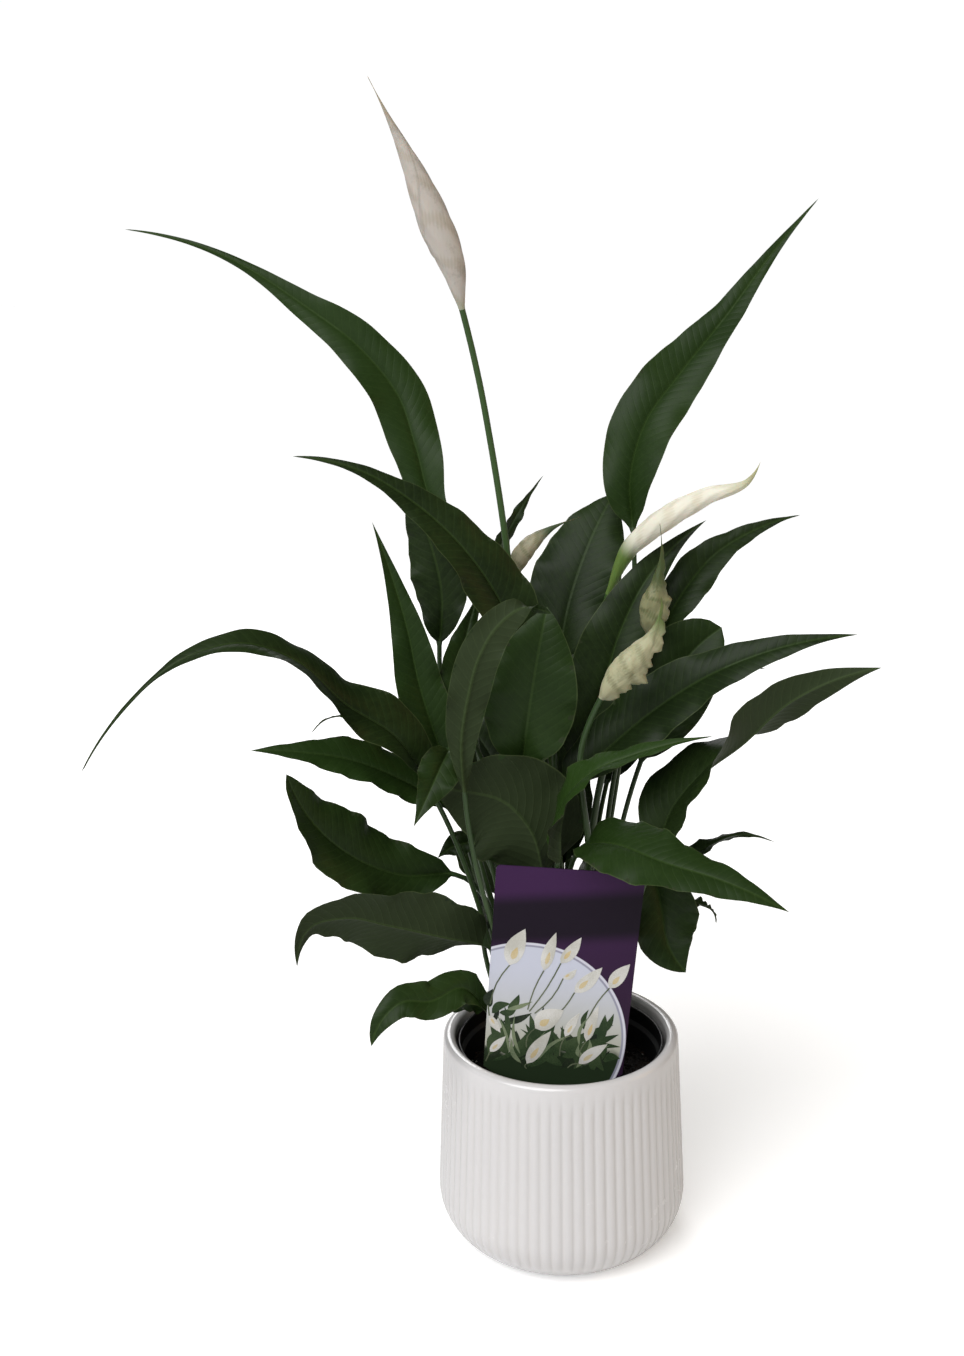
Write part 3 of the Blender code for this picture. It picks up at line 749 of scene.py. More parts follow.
def reed_tree():
    """Presses rounded upright reeds into the outside of a turned wall, and stores how deep each groove is,
    for the glaze's painted shade in the grooves.
    """
    inputs = [
        ("Reeds", "Float", 72.0),
        ("Depth", "Float", 0.001),
        ("Low", "Float", 0.01),
        ("High", "Float", 0.12),
        ("Fade", "Float", 0.005),
        ("Material", "Material", None),
    ]
    tree, w, given = geometry_tree("reeds", inputs)
    position = w.node("GeometryNodeInputPosition").outputs[0]
    normal = w.node("GeometryNodeInputNormal").outputs["Normal"]
    x, y, z = w.separate(position)[0:3]
    outward = w.node("ShaderNodeCombineXYZ", {"X": x, "Y": y}).outputs[0]
    outward = w.node("ShaderNodeVectorMath", {0: outward}, operation="NORMALIZE").outputs["Vector"]
    facing = w.node("ShaderNodeVectorMath", {0: outward, 1: normal}, operation="DOT_PRODUCT").outputs["Value"]
    turn = w.times(w.math("ARCTAN2", y, x), w.times(given["Reeds"], 0.5))
    ridge = w.math("ABSOLUTE", w.math("COSINE", turn))
    groove = w.math("SUBTRACT", 1.0, w.math("POWER", ridge, 0.75))
    start = w.mask(z, given["Low"], w.math("ADD", given["Low"], given["Fade"]))
    stop = w.mask(z, given["High"], w.math("SUBTRACT", given["High"], given["Fade"]))
    outside = w.math("GREATER_THAN", facing, 0.1)
    depth = w.times(w.times(groove, outside), w.times(start, stop))
    inward = w.times(w.times(depth, given["Depth"]), -1.0)
    move = w.node("ShaderNodeVectorMath", {0: outward, "Scale": inward}, operation="SCALE").outputs["Vector"]
    pressed = w.node("GeometryNodeSetPosition", {"Geometry": given["Geometry"], "Offset": move}).outputs[0]
    marked = w.node(
        "GeometryNodeStoreNamedAttribute",
        {"Geometry": pressed, "Name": "groove", "Value": depth},
        data_type="FLOAT",
        domain="POINT",
    ).outputs[0]
    real = w.node("GeometryNodeRealizeInstances", {"Geometry": marked}).outputs[0]
    done = w.node("GeometryNodeSetMaterial", {"Geometry": real, "Material": given["Material"]}).outputs[0]
    w.node("NodeGroupOutput", {"Geometry": done})
    return tree


def crumb_tree():
    """Scatters small rough lumps over the faces of a bed that look up."""
    inputs = [
        ("Density", "Float", 100.0),
        ("Smallest", "Float", 0.001),
        ("Largest", "Float", 0.003),
        ("Flatness", "Float", 0.6),
        ("Seed", "Int", 1),
        ("Material", "Material", None),
    ]
    tree, w, given = geometry_tree("crumbs", inputs)
    normal = w.node("GeometryNodeInputNormal").outputs["Normal"]
    looks_up = w.math("GREATER_THAN", w.separate(normal)[2], 0.4)
    seed, smallest = given["Seed"], given["Smallest"]
    where = {"Mesh": given["Geometry"], "Selection": looks_up, "Density": given["Density"], "Seed": seed}
    spots = w.node("GeometryNodeDistributePointsOnFaces", where).outputs["Points"]
    lump = w.node("GeometryNodeMeshIcoSphere", {"Radius": 1.0, "Subdivisions": 1}).outputs["Mesh"]
    turns = {"Max": (math.tau,) * 3, "Seed": seed}
    turn = w.node("FunctionNodeRandomValue", turns, data_type="FLOAT_VECTOR")
    spread = w.node("FunctionNodeRandomValue", {"Seed": w.math("ADD", seed, 7.0)}, data_type="FLOAT")
    share = w.math("POWER", live(spread.outputs), 2.5)
    size = w.math("MULTIPLY_ADD", share, w.math("SUBTRACT", given["Largest"], smallest), smallest)
    low = w.times(size, given["Flatness"])
    scale = w.node("ShaderNodeCombineXYZ", {"X": size, "Y": w.times(size, 0.75), "Z": low}).outputs[0]
    copies = {"Points": spots, "Instance": lump, "Rotation": live(turn.outputs), "Scale": scale}
    lumps = w.node("GeometryNodeInstanceOnPoints", copies).outputs[0]
    real = w.node("GeometryNodeRealizeInstances", {"Geometry": lumps}).outputs[0]
    done = w.node("GeometryNodeSetMaterial", {"Geometry": real, "Material": given["Material"]}).outputs[0]
    w.node("NodeGroupOutput", {"Geometry": done})
    return tree


# ---------------------------------------------------------------- pots, soil and label


def make_cover_pot():
    foot = arc((FOOT_RADIUS, FOOT_HEIGHT), (POT_RADIUS - FOOT_RADIUS, FOOT_HEIGHT), -90, 0, 16)
    shoulder = (RIM_RADIUS, POT_HEIGHT - RIM_ROUND)
    wall = line((POT_RADIUS, FOOT_HEIGHT), shoulder, 20)
    rim = arc((RIM_RADIUS - POT_WALL / 2, POT_HEIGHT - RIM_ROUND), (POT_WALL / 2, RIM_ROUND), 0, 180, 10)
    inner_foot = FOOT_RADIUS - 0.3 * MM
    inner_wide = POT_RADIUS - POT_WALL
    inside = arc((inner_foot, POT_FLOOR + FOOT_HEIGHT), (inner_wide - inner_foot, FOOT_HEIGHT), 0, -90, 8)
    profile = [(0, 0), (FOOT_RADIUS - 3 * MM, 0), *foot, *wall, *rim, *inside, (0, POT_FLOOR)]
    pot = turned("reeded_cover_pot", profile, POT_SIDES, [])
    sizes = {
        "Reeds": float(REEDS),
        "Depth": REED_DEPTH,
        "Low": REED_LOW,
        "High": REED_HIGH,
        "Fade": REED_FADE,
        "Material": glaze_material(),
    }
    run_tree(pot, reed_tree(), sizes)
    pot.data.shade_smooth()
    place_piece(pot, "white_glaze", "cover_pot")


def make_nursery_pot():
    wall = NURSERY_WALL
    lip_base = NURSERY_TOP - NURSERY_LIP
    body = NURSERY_RADIUS - NURSERY_STEP
    slope = (body - NURSERY_FOOT) / (lip_base - NURSERY_BASE)
    rings = []
    for height in (0.35, 0.6, 0.8):
        z = NURSERY_BASE + (lip_base - NURSERY_BASE) * height
        radius = NURSERY_FOOT + slope * (z - NURSERY_BASE)
        rings += [(radius - 0.01 * MM, z - 1 * MM), (radius - 0.4 * MM, z), (radius, z + 1 * MM)]
    round_lip = arc((NURSERY_RADIUS - wall / 2, NURSERY_TOP - wall / 2), (wall / 2, wall / 2), 0, 180, 8)
    profile = [
        (0, NURSERY_BASE),
        (NURSERY_FOOT - 1 * MM, NURSERY_BASE),
        (NURSERY_FOOT, NURSERY_BASE + 1 * MM),
        *rings,
        (body, lip_base - 0.5 * MM),
        (body + 0.5 * MM, lip_base),
        (NURSERY_RADIUS - 0.5 * MM, lip_base),
        (NURSERY_RADIUS, lip_base + 0.5 * MM),
        *round_lip,
        (NURSERY_RADIUS - wall, lip_base + 1.5 * MM),
        (body - wall, lip_base - 0.5 * MM),
        (NURSERY_FOOT - wall, NURSERY_BASE + 2 * wall),
        (NURSERY_FOOT - 2 * wall, NURSERY_BASE + wall),
        (0, NURSERY_BASE + wall),
    ]
    pot = turned("nursery_pot_shell", profile, 144, [plastic_material()])
    drill = bmesh.new()
    for hole in range(DRAIN_HOLES):
        angle = math.tau * hole / DRAIN_HOLES
        made = bmesh.ops.create_cone(
            drill, cap_ends=True, segments=24, radius1=DRAIN_RADIUS, radius2=DRAIN_RADIUS, depth=4 * wall
        )
        place = (DRAIN_REACH * math.cos(angle), DRAIN_REACH * math.sin(angle), NURSERY_BASE + wall / 2)
        bmesh.ops.translate(drill, verts=made["verts"], vec=place)
    cutter = add_object("drain_drill", closed_mesh("drain_drill", drill), smooth=False)
    boolean = pot.modifiers.new("Drain", "BOOLEAN")
    boolean.operation = "DIFFERENCE"
    boolean.object = cutter
    bake_modifiers(pot)
    bpy.data.objects.remove(cutter)
    pot.data.set_sharp_from_angle(angle=math.radians(35))
    place_piece(pot, "black_plastic", "nursery_pot")


def soil_height(x, y):
    radius = math.hypot(x, y)
    crown = SOIL_CROWN * (1 - (radius / SOIL_RADIUS) ** 2)
    lumps = noise.fractal(Vector((x, y, 0.3)) * 90, 1.0, 2.0, 4) * 1.6 * MM
    return SOIL_TOP + crown + lumps - 0.6 * MM


def make_soil():
    rings = 40
    top = [(SOIL_RADIUS * (1 - ring / rings), SOIL_TOP) for ring in range(1, rings)]
    low = SOIL_RADIUS - 12 * MM
    bed_earth = soil_material("potting soil", (0.0045, 0.0035, 0.003), (0.016, 0.011, 0.008))
    profile = [(0, SOIL_BASE), (low, SOIL_BASE), (SOIL_RADIUS, SOIL_TOP - 1 * MM), *top, (0, SOIL_TOP)]
    bed = turned("soil_bed", profile, 120, [bed_earth])
    for point in bed.data.vertices:
        if point.co.z > SOIL_TOP - 1.5 * MM:
            point.co.z = soil_height(point.co.x, point.co.y)
    scatter = crumb_tree()
    bark = soil_material("bark", (0.012, 0.007, 0.004), (0.035, 0.02, 0.012))
    perlite = soil_material("perlite", (0.40, 0.38, 0.34), (0.62, 0.60, 0.56))
    # Name, pieces to a square metre, smallest and largest in millimetres, flatness, seed and material
    kinds = (
        ("soil_crumbs", 320000.0, 0.4, 1.8, 0.7, 3, bed_earth),
        ("bark_bits", 16000.0, 1.2, 3.4, 0.35, 11, bark),
        ("perlite", 7000.0, 0.6, 1.5, 0.8, 23, perlite),
    )
    for name, density, smallest, largest, flatness, seed, earth in kinds:
        crumbs = add_object(name, bed.data.copy(), smooth=False)
        sizes = {
            "Density": density,
            "Smallest": smallest * MM,
            "Largest": largest * MM,
            "Flatness": flatness,
            "Seed": seed,
            "Material": earth,
        }
        run_tree(crumbs, scatter, sizes)
        place_piece(crumbs, "potting_soil")
    place_piece(bed, "potting_soil", "soil")


def card_point(across, up, out=0.0):
    """A point on the label's front, from millimetres across its middle and up from the cover pot's rim."""
    across, up = across * MM, up * MM
    x = LABEL_CENTRE + across * math.cos(LABEL_LEAN) + up * math.sin(LABEL_LEAN)
    z = POT_HEIGHT + up * math.cos(LABEL_LEAN) - across * math.sin(LABEL_LEAN)
    return Vector((x, LABEL_Y - LABEL_THICKNESS / 2 - out, z))


def add_slab(shape, outline, back, front):
    """A flat slab with the given (across, up) outline between two distances in front of the card."""
    rows = [[shape.verts.new(card_point(*point, out=out)) for point in outline] for out in (back, front)]
    shape.faces.new(rows[0])
    shape.faces.new(rows[1][::-1])
    count = len(outline)
    for i in range(count):
        after = (i + 1) % count
        shape.faces.new((rows[0][i], rows[1][i], rows[1][after], rows[0][after]))


def label_edge(up):
    """Half the card's width at a height."""
    share = (up - LABEL_SHOULDER) / (LABEL_TOP - LABEL_SHOULDER)
    return LABEL_RIM_HALF + (LABEL_TOP_HALF - LABEL_RIM_HALF) * share


def make_card():
    right = [(2.5, -55), (8, -40), (8, -27), (LABEL_RIM_HALF, LABEL_SHOULDER)]
    right += [(label_edge(up), up) for up in range(0, LABEL_TOP - 2, 8)]
    for step in range(7):
        angle = math.radians(15 * step)
        across = LABEL_TOP_HALF - LABEL_CORNER * (1 - math.cos(angle))
        right.append((across, LABEL_TOP - LABEL_CORNER * (1 - math.sin(angle))))
    outline = right + [(-across, up) for across, up in reversed(right)]
    shape = bmesh.new()
    add_slab(shape, outline, -LABEL_THICKNESS, 0)
    mesh = closed_mesh("label_card", shape)
    layer = mesh.uv_layers.new(name="card")
    for loop in mesh.loops:
        spot = mesh.vertices[loop.vertex_index].co
        x, z = spot.x - LABEL_CENTRE, spot.z - POT_HEIGHT
        across = x * math.cos(LABEL_LEAN) - z * math.sin(LABEL_LEAN)
        up = x * math.sin(LABEL_LEAN) + z * math.cos(LABEL_LEAN)
        layer.data[loop.index].uv = (across * 10, up * 10)
    card = add_object("label_card", mesh, [card_material()], smooth=False)
    place_piece(card, "label_card", "plant_label")


def petal_outline(base, tip, width, bend=0.0, steps=9):
    """A pointed outline from its base to its tip, bent to one side, as (across, up) points."""
    base, tip = Vector(base), Vector(tip)
    along = tip - base
    side = Vector((-along.y, along.x)).normalized()
    sides = ([], [])
    for step in range(1, steps):
        share = step / steps
        half = width / 2 * (share / 0.4) ** 0.7 * ((1 - share) / 0.6) ** 1.05
        middle = base + along * share + side * bend * math.sin(math.pi * share)
        sides[0].append(middle + side * half)
        sides[1].append(middle - side * half)
    return [tuple(point) for point in [base, *sides[1], tip, *reversed(sides[0])]]


def strip_outline(base, tip, width, bend):
    """A thin curved strip for a stem."""
    base, tip = Vector(base), Vector(tip)
    along = tip - base
    side = Vector((-along.y, along.x)).normalized()
    shares = [step / 4 for step in range(5)]
    middles = [base + along * share + side * bend * math.sin(math.pi * share) for share in shares]
    left = [tuple(point + side * width / 2) for point in middles]
    right = [tuple(point - side * width / 2) for point in middles]
    return right + left[::-1]


# The card's picture in millimetres across and up: a spathe's base, tip and width, its stem's root and bend.
PRINTED_FLOWERS = (
    ((-29, 55), (-22, 77), 11, (-38, 31), 2),
    ((-10, 53), (-5, 76), 7, (-17, 29), 1),
    ((-1, 58), (9, 74), 7, (-16, 28), -1),
    ((1, 49), (8, 55), 4, (-13, 27), -2),
    ((8, 41), (22, 57), 8, (-3, 24), -1),
    ((27, 45), (37, 60), 8, (17, 26), 1),
    ((-12, 18), (3, 30), 12, (-16, 6), 2),
    ((5, 14), (12, 29), 5, (3, 2), 1),
    ((17, 12), (22, 34), 6, (14, 2), 1),
    ((14, -2), (29, 11), 7, (8, -5), 1),
    ((-15, -4), (-3, 17), 8, (-15, -7), 1),
    ((-38, 24), (-31, 14), 4, (-39, 30), 0),
    ((-36, 2), (-28, 12), 5, (-38, -4), 0),
)
# Clumps of printed leaves: where they fan out from, their length, how far they lean and their number.
PRINTED_CLUMPS = (
    ((-34, 24), 17, (-10, 75), 7),
    ((-30, 2), 23, (-45, 55), 16),
    ((-18, -2), 24, (-40, 55), 18),
    ((-4, 2), 24, (-60, 60), 18),
    ((10, 0), 22, (-50, 78), 18),
    ((18, 14), 17, (5, 100), 8),
    ((22, -2), 15, (-60, 80), 12),
)


def printed_leaves():
    """Base, tip, width and bend of every leaf in the card's picture, the dark ones at the back first."""
    chance = random.Random(4)
    for (across, up), length, (lean_left, lean_right), count in PRINTED_CLUMPS:
        for number in range(count):
            lean = math.radians(chance.uniform(lean_left, lean_right))
            reach = length * chance.uniform(0.6, 1.1)
            base = (across + chance.uniform(-7, 7), max(up + chance.uniform(-6, 6), LOWEST_PRINT))
            tip = (base[0] + reach * math.sin(lean), max(base[1] + reach * math.cos(lean), LOWEST_PRINT))
            in_ring = math.dist(tip, RING_CENTRE) < RING_RADIUS
            if in_ring and max(abs(tip[0]), abs(base[0])) < LABEL_RIM_HALF - 1:
                yield base, tip, chance.uniform(2.5, 6.0), chance.uniform(-3, 3), number / count


def make_print():
    """The card's picture of flowers and leaves, as thin layers of ink that stand a little proud of it."""
    layers = {
        "shadows": ink_material("ink shadow", (0.010, 0.016, 0.010), (0.030, 0.044, 0.024)),
        "leaves": ink_material("ink leaf", (0.022, 0.042, 0.018), (0.055, 0.085, 0.038)),
        "highlights": ink_material("ink pale leaf", (0.11, 0.15, 0.085), (0.21, 0.25, 0.15)),
        "stems": ink_material("ink stem", (0.07, 0.09, 0.05), (0.14, 0.16, 0.10)),
        "spathes": ink_material("ink spathe", (0.50, 0.49, 0.44), (0.68, 0.67, 0.64)),
        "spadices": ink_material("ink spadix", (0.56, 0.43, 0.22), (0.62, 0.54, 0.36)),
    }
    shapes = {kind: bmesh.new() for kind in layers}
    rise = PRINT_DEPTH

    def print_shape(kind, outline):
        """Every shape is a little higher than the one before, so that no two lie in one plane."""
        nonlocal rise
        rise += PRINT_STEP
        add_slab(shapes[kind], outline, 0.01 * MM, rise)

    for base, tip, width, bend, place in sorted(printed_leaves(), key=lambda leaf: leaf[4]):
        kind = "shadows" if place < 0.35 else "leaves" if place < 0.85 else "highlights"
        print_shape(kind, petal_outline(base, tip, width * (0.6 if place >= 0.85 else 1), bend))
    for base, tip, width, root, bend in PRINTED_FLOWERS:
        print_shape("stems", strip_outline(root, base, 0.7, bend))
        print_shape("spathes", petal_outline(base, tip, width, bend / 2))
        base, tip = Vector(base), Vector(tip)
        inner = petal_outline(base + (tip - base) * 0.16, base + (tip - base) * 0.50, width * 0.34, steps=7)
        print_shape("spadices", inner)
    for kind, shape in shapes.items():
        mesh = closed_mesh("printed_" + kind, shape)
        place_piece(add_object("printed_" + kind, mesh, [layers[kind]], smooth=False), "label_card")


# ---------------------------------------------------------------- plant


def smooth_curve(knots):
    """A function from a distance to the point and direction on one smooth curve through the knots."""
    knots = np.array(knots, float)
    stations = np.concatenate([[0], np.cumsum(np.linalg.norm(np.diff(knots, axis=0), axis=1))])
    slopes = np.gradient(knots, stations, axis=0, edge_order=2)
    slopes[0] = (knots[1] - knots[0]) / stations[1]

    def at(distance):
        span = min(max(np.searchsorted(stations, distance, side="right") - 1, 0), len(knots) - 2)
        length = stations[span + 1] - stations[span]
        t = (distance - stations[span]) / length
        start, end = knots[span], knots[span + 1]
        leave, arrive = slopes[span] * length, slopes[span + 1] * length
        point = (
            start * (2 * t**3 - 3 * t**2 + 1)
            + leave * (t**3 - 2 * t**2 + t)
            + end * (3 * t**2 - 2 * t**3)
            + arrive * (t**3 - t**2)
        )
        direction = (
            (start - end) * (6 * t**2 - 6 * t)
            + leave * (3 * t**2 - 4 * t + 1)
            + arrive * (3 * t**2 - 2 * t)
        )
        return point, direction / np.linalg.norm(direction)

    return at, stations


def plant_point(millimetres):
    x, y, up = millimetres
    return np.array((x * MM, y * MM, SOIL_TOP + up * MM))


def foot_of(node):
    """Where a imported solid's stem stands: the middle of its lowest ring."""
    points = np.array([point.co for point in frame["nodes"][node].data.vertices])
    lowest = points[points[:, 2] < points[:, 2].min() + 0.05 * MM]
    return (lowest.min(axis=0) + lowest.max(axis=0)) / 2


def swelling(t, rise, tail):
    """A width from 0 at t = 0 over 1 at its widest to 0 at t = 1."""
    peak = rise / (rise + tail)
    return (t / peak) ** rise * ((1 - t) / (1 - peak)) ** tail


def smoothstep(value):
    value = min(max(value, 0), 1)
    return value * value * (3 - 2 * value)


def section_places():
    """The points round a blade's section, from its left margin over the top and back underneath."""
    steps = [index / (HALF_POINTS - 1) for index in range(HALF_POINTS)]
    shares = [step**1.5 for step in steps]
    top = shares[::-1] + [-share for share in shares[1:]]
    under = [-share for share in shares[-2:0:-1]] + shares[:-1]
    places = []
    for index, across in enumerate(top):
        places.append((across, False, 180 * index / (len(top) - 1)))
    for index, across in enumerate(under):
        places.append((across, True, 180 + 180 * (index + 1) / (len(under) + 1)))
    return places


SECTION = section_places()


def blade_width(leaf, t):
    """Share of the blade's full width. Its drawn-out tip keeps part of a blunter outline."""
    return (1 - TIP_SHARE) * swelling(t, leaf.rise, leaf.tail) + TIP_SHARE * swelling(t, 1, 0.8)


def blade_section(leaf, t, along, phases):
    """The section's points as (across, up) from the midrib, and how far across the blade each one lies."""
    share = blade_width(leaf, t)
    width = leaf.half * MM * share
    fold = math.radians(leaf.fold + (BASE_FOLD - leaf.fold) * (1 - t) ** 8)
    curl = math.radians(leaf.curl)
    rib = 1.3 * PETIOLE_RADIUS * (1 - t) ** 1.4
    rib_width = max(1.2 * PETIOLE_RADIUS * (1 - t) ** 0.8, 0.3 * MM)
    points, spread = [], []
    for across, under, _ in SECTION:
        reach = abs(across)
        side = 1 if across > 0 else -1
        angle = fold - curl * reach / 2
        first = leaf.wave * MM * reach**2 * math.sin(math.tau * (MARGIN_WAVES * t + 0.2 * side))
        second = RIPPLE_HEIGHT * reach**3 * math.sin(math.tau * (RIPPLES * t + phases[side]))
        third = FLUTTER_HEIGHT * reach**5 * math.sin(math.tau * (FLUTTERS * t + 3 * phases[side]))
        quilt_turn = math.tau * (along - 1.4 * width * reach) / QUILT_SPACING
        quilt = QUILT_HEIGHT * reach * (1 - reach**3) * math.sin(quilt_turn)
        distance = width * reach
        up = distance * math.sin(angle) + (first + second + third + quilt) * share
        near_rib = math.exp(-((distance / rib_width) ** 2))
        if under:
            up -= BLADE_THICKNESS * (1 - reach**6) + rib * near_rib
        else:
            up -= 0.35 * rib * near_rib
        points.append((side * distance * math.cos(angle), up))
        spread.append(side * distance)
    return points, spread


def round_section(radius, flatten=1.0):
    angles = [math.radians(angle) for _, _, angle in SECTION]
    return [(radius * math.cos(angle), flatten * radius * math.sin(angle)) for angle in angles]


def ring_at(point, direction, side, roll, section):
    """A cross-section placed on the spine."""
    side = side - direction * np.dot(side, direction)
    side /= np.linalg.norm(side)
    up = np.cross(direction, side)
    turn = math.radians(roll)
    left = side * math.cos(turn) + up * math.sin(turn)
    up = up * math.cos(turn) - side * math.sin(turn)
    return [point + left * across + up * height for across, height in section]


class Skin:
    """Rings of points that become one closed mesh, with what each point carries to its material."""

    def __init__(self, sides):
        self.sides = sides
        self.rings, self.uvs, self.margins, self.alongs, self.kinds = [], [], [], [], []

    def add(self, ring, uvs, margins, along, kind):
        self.rings.append(ring)
        self.uvs.append(uvs)
        self.margins.append(margins)
        self.alongs.append(along)
        self.kinds.append(kind)

    def build(self, name, tip, materials, tone, under_from=None):
        """Kinds pick the material of each row of faces: 0 for both sides of a blade, 2 for a stem."""
        sides, rows = self.sides, len(self.rings)
        points = [tuple(point) for ring in self.rings for point in ring] + [tuple(tip)]
        faces, slots = [tuple(range(sides))], [self.kinds[0]]
        for row in range(rows - 1):
            for side in range(sides):
                near, far = row * sides + side, row * sides + (side + 1) % sides
                faces.append((near, far, far + sides, near + sides))
                under = under_from is not None and side >= under_from
                slots.append(1 if under and self.kinds[row] == 0 else self.kinds[row])
        last = (rows - 1) * sides
        for side in range(sides):
            faces.append((last + side, last + (side + 1) % sides, len(points) - 1))
            slots.append(self.kinds[-1])
        mesh = bpy.data.meshes.new(name)
        mesh.from_pydata(points, [], faces)
        for face, slot in zip(mesh.polygons, slots):
            face.material_index = slot if len(materials) > 1 else 0
        uvs = [uv for ring in self.uvs for uv in ring] + [(0.0, self.uvs[-1][0][1])]
        margins = [value for ring in self.margins for value in ring] + [1.0]
        alongs = [value for value in self.alongs for _ in range(sides)] + [1.0]
        layer = mesh.uv_layers.new(name="blade")
        order = np.zeros(len(mesh.loops), int)
        mesh.loops.foreach_get("vertex_index", order)
        layer.data.foreach_set("uv", np.array(uvs, np.float32)[order].ravel())
        for label, values in (("margin", margins), ("along", alongs), ("tone", [tone] * len(points))):
            mesh.attributes.new(label, "FLOAT", "POINT").data.foreach_set("value", values)
        shape = bmesh.new()
        shape.from_mesh(mesh)
        bmesh.ops.recalc_face_normals(shape, faces=shape.faces)
        shape.to_mesh(mesh)
        shape.free()
        thing = add_object(name, mesh, materials)
        mesh.set_sharp_from_angle(angle=math.radians(60))
        return thing


def add_stem(skin, at, length, steps, last, side, roll, radius, kind):
    """Rings up the first length of a spine, after one that stands a little under the soil."""
    sides = len(SECTION)
    for step in range(-1, last):
        share = max(step, 0) / steps
        point, direction = at(length * share)
        if step < 0:
            point = point - direction * ROOTING
        ring = ring_at(point, direction, side, roll * share, round_section(radius(share)))
        skin.add(ring, [(0.0, 0.0)] * sides, [0.0] * sides, share, kind)


def petiole_radius(share):
    return PETIOLE_RADIUS + (SHEATH_RADIUS - PETIOLE_RADIUS) * max(1 - 3 * share, 0)


def scape_radius(share):
    return SCAPE_RADIUS * (1.25 - 0.35 * share)


def make_leaf(leaf, materials):
    chance = random.Random(leaf.name)
    phases = {1: chance.random(), -1: chance.random()}
    tone = 0.85 * chance.random() ** 2
    foot = foot_of("leaf_" + leaf.name)
    knots = [foot, *map(plant_point, leaf.spine)]
    at, stations = smooth_curve(knots)
    outward = knots[-2] + knots[-1] - 2 * foot
    heading = math.atan2(outward[1], outward[0])
    side = np.array((-math.sin(heading), math.cos(heading), 0))
    collar, end = stations[1], stations[-1]
    skin = Skin(len(SECTION))
    margins = [abs(across) for across, _, _ in SECTION]
    stem_steps = max(int(collar / (2.5 * STATION)), 4)
    add_stem(skin, at, collar, stem_steps, stem_steps, side, leaf.roll, petiole_radius, 2)
    length = end - collar
    steps = max(int(length / STATION), 24)
    for step in range(steps):
        t = step / steps
        point, direction = at(collar + length * t)
        flat, spread = blade_section(leaf, t, length * t, phases)
        blend = smoothstep(t / BLEND_SHARE)
        stem = round_section(PETIOLE_RADIUS)
        section = [(s[0] + (f[0] - s[0]) * blend, s[1] + (f[1] - s[1]) * blend) for s, f in zip(stem, flat)]
        ring = ring_at(point, direction, side, leaf.roll + leaf.twist * t, section)
        uvs = [(distance, length * t) for distance in spread]
        skin.add(ring, uvs, margins, 1.0, 0 if blend > 0.25 else 2)
    top_faces = 2 * (HALF_POINTS - 1)
    blade = skin.build("peace_" + leaf.name, at(end)[0], materials, tone, under_from=top_faces)
    place_piece(blade, "leaf_green", "leaf_" + leaf.name)


def make_stalk(flower, finish):
    node = "stalk_" + flower.name
    knots = [foot_of(node), *map(plant_point, flower.stalk), plant_point(flower.spathe[0])]
    at, stations = smooth_curve(knots)
    side = np.array((0.0, 1.0, 0.0))
    skin = Skin(len(SECTION))
    steps = int(stations[-1] / (2 * STATION))
    add_stem(skin, at, stations[-1], steps, steps + 1, side, 0, scape_radius, 0)
    thing = skin.build("scape_" + flower.name, at(stations[-1])[0], [finish], 0.0)
    place_piece(thing, "stalk_green", node)


def make_spathe(flower, finish, slot, seam_turns, overlap, crumple, lip):
    """A rolled spathe: a swelling tube whose outer edge overlaps along a seam that winds up it.

    Crumple dents its side, and lip is how far a torn edge stands out of it, both in millimetres.
    """
    node = "spathe_" + flower.name
    knots = [plant_point(point) for point in flower.spathe]
    at, stations = smooth_curve(knots)
    side = np.array((0.0, 1.0, 0.0))
    tail = SPATHE_RISE * (1 - flower.belly) / flower.belly
    around = SPATHE_SIDES
    steps = max(int(stations[-1] / SPATHE_STATION), 30)
    skin = Skin(around)
    for step in range(steps):
        share = step / steps
        point, direction = at(stations[-1] * share)
        neck = SCAPE_RADIUS * 0.92 * (1 - share) ** 1.2
        body = swelling(share, SPATHE_RISE, tail)
        radius = neck + flower.half * MM * body
        seam = math.tau * seam_turns * share
        section, uvs = [], []
        for index in range(around):
            turn = index / (around - 1)
            angle = seam + math.tau * turn * (around - 1) / around
            grown = radius * (1 + overlap * body * turn)
            grown += 0.22 * MM * body * math.sin(7 * angle + 42 * share)
            if crumple:
                spot = Vector((math.cos(angle) * 0.9, math.sin(angle) * 0.9, share * 5 + flower.half))
                grown += crumple * MM * body * noise.fractal(spot, 1.0, 2.0, 3)
                torn = 1 + 0.35 * math.sin(19 * share + 1) + 0.3 * math.sin(43 * share)
                torn += 0.15 * math.sin(97 * share)
                reach = swelling(share, 0.5, 0.5 * tail / SPATHE_RISE)
                grown += lip * MM * torn * reach * max(math.cos(angle - LIP_ANGLE), 0) ** 8
            grown = max(grown, 0.15 * MM)
            section.append((grown * math.cos(angle), grown * math.sin(angle)))
            uvs.append((turn, share))
        skin.add(ring_at(point, direction, side, 0, section), uvs, [0.0] * around, share, 0)
    thing = skin.build("rolled_" + flower.name, at(stations[-1])[0], [finish], 0.0)
    place_piece(thing, slot, node)


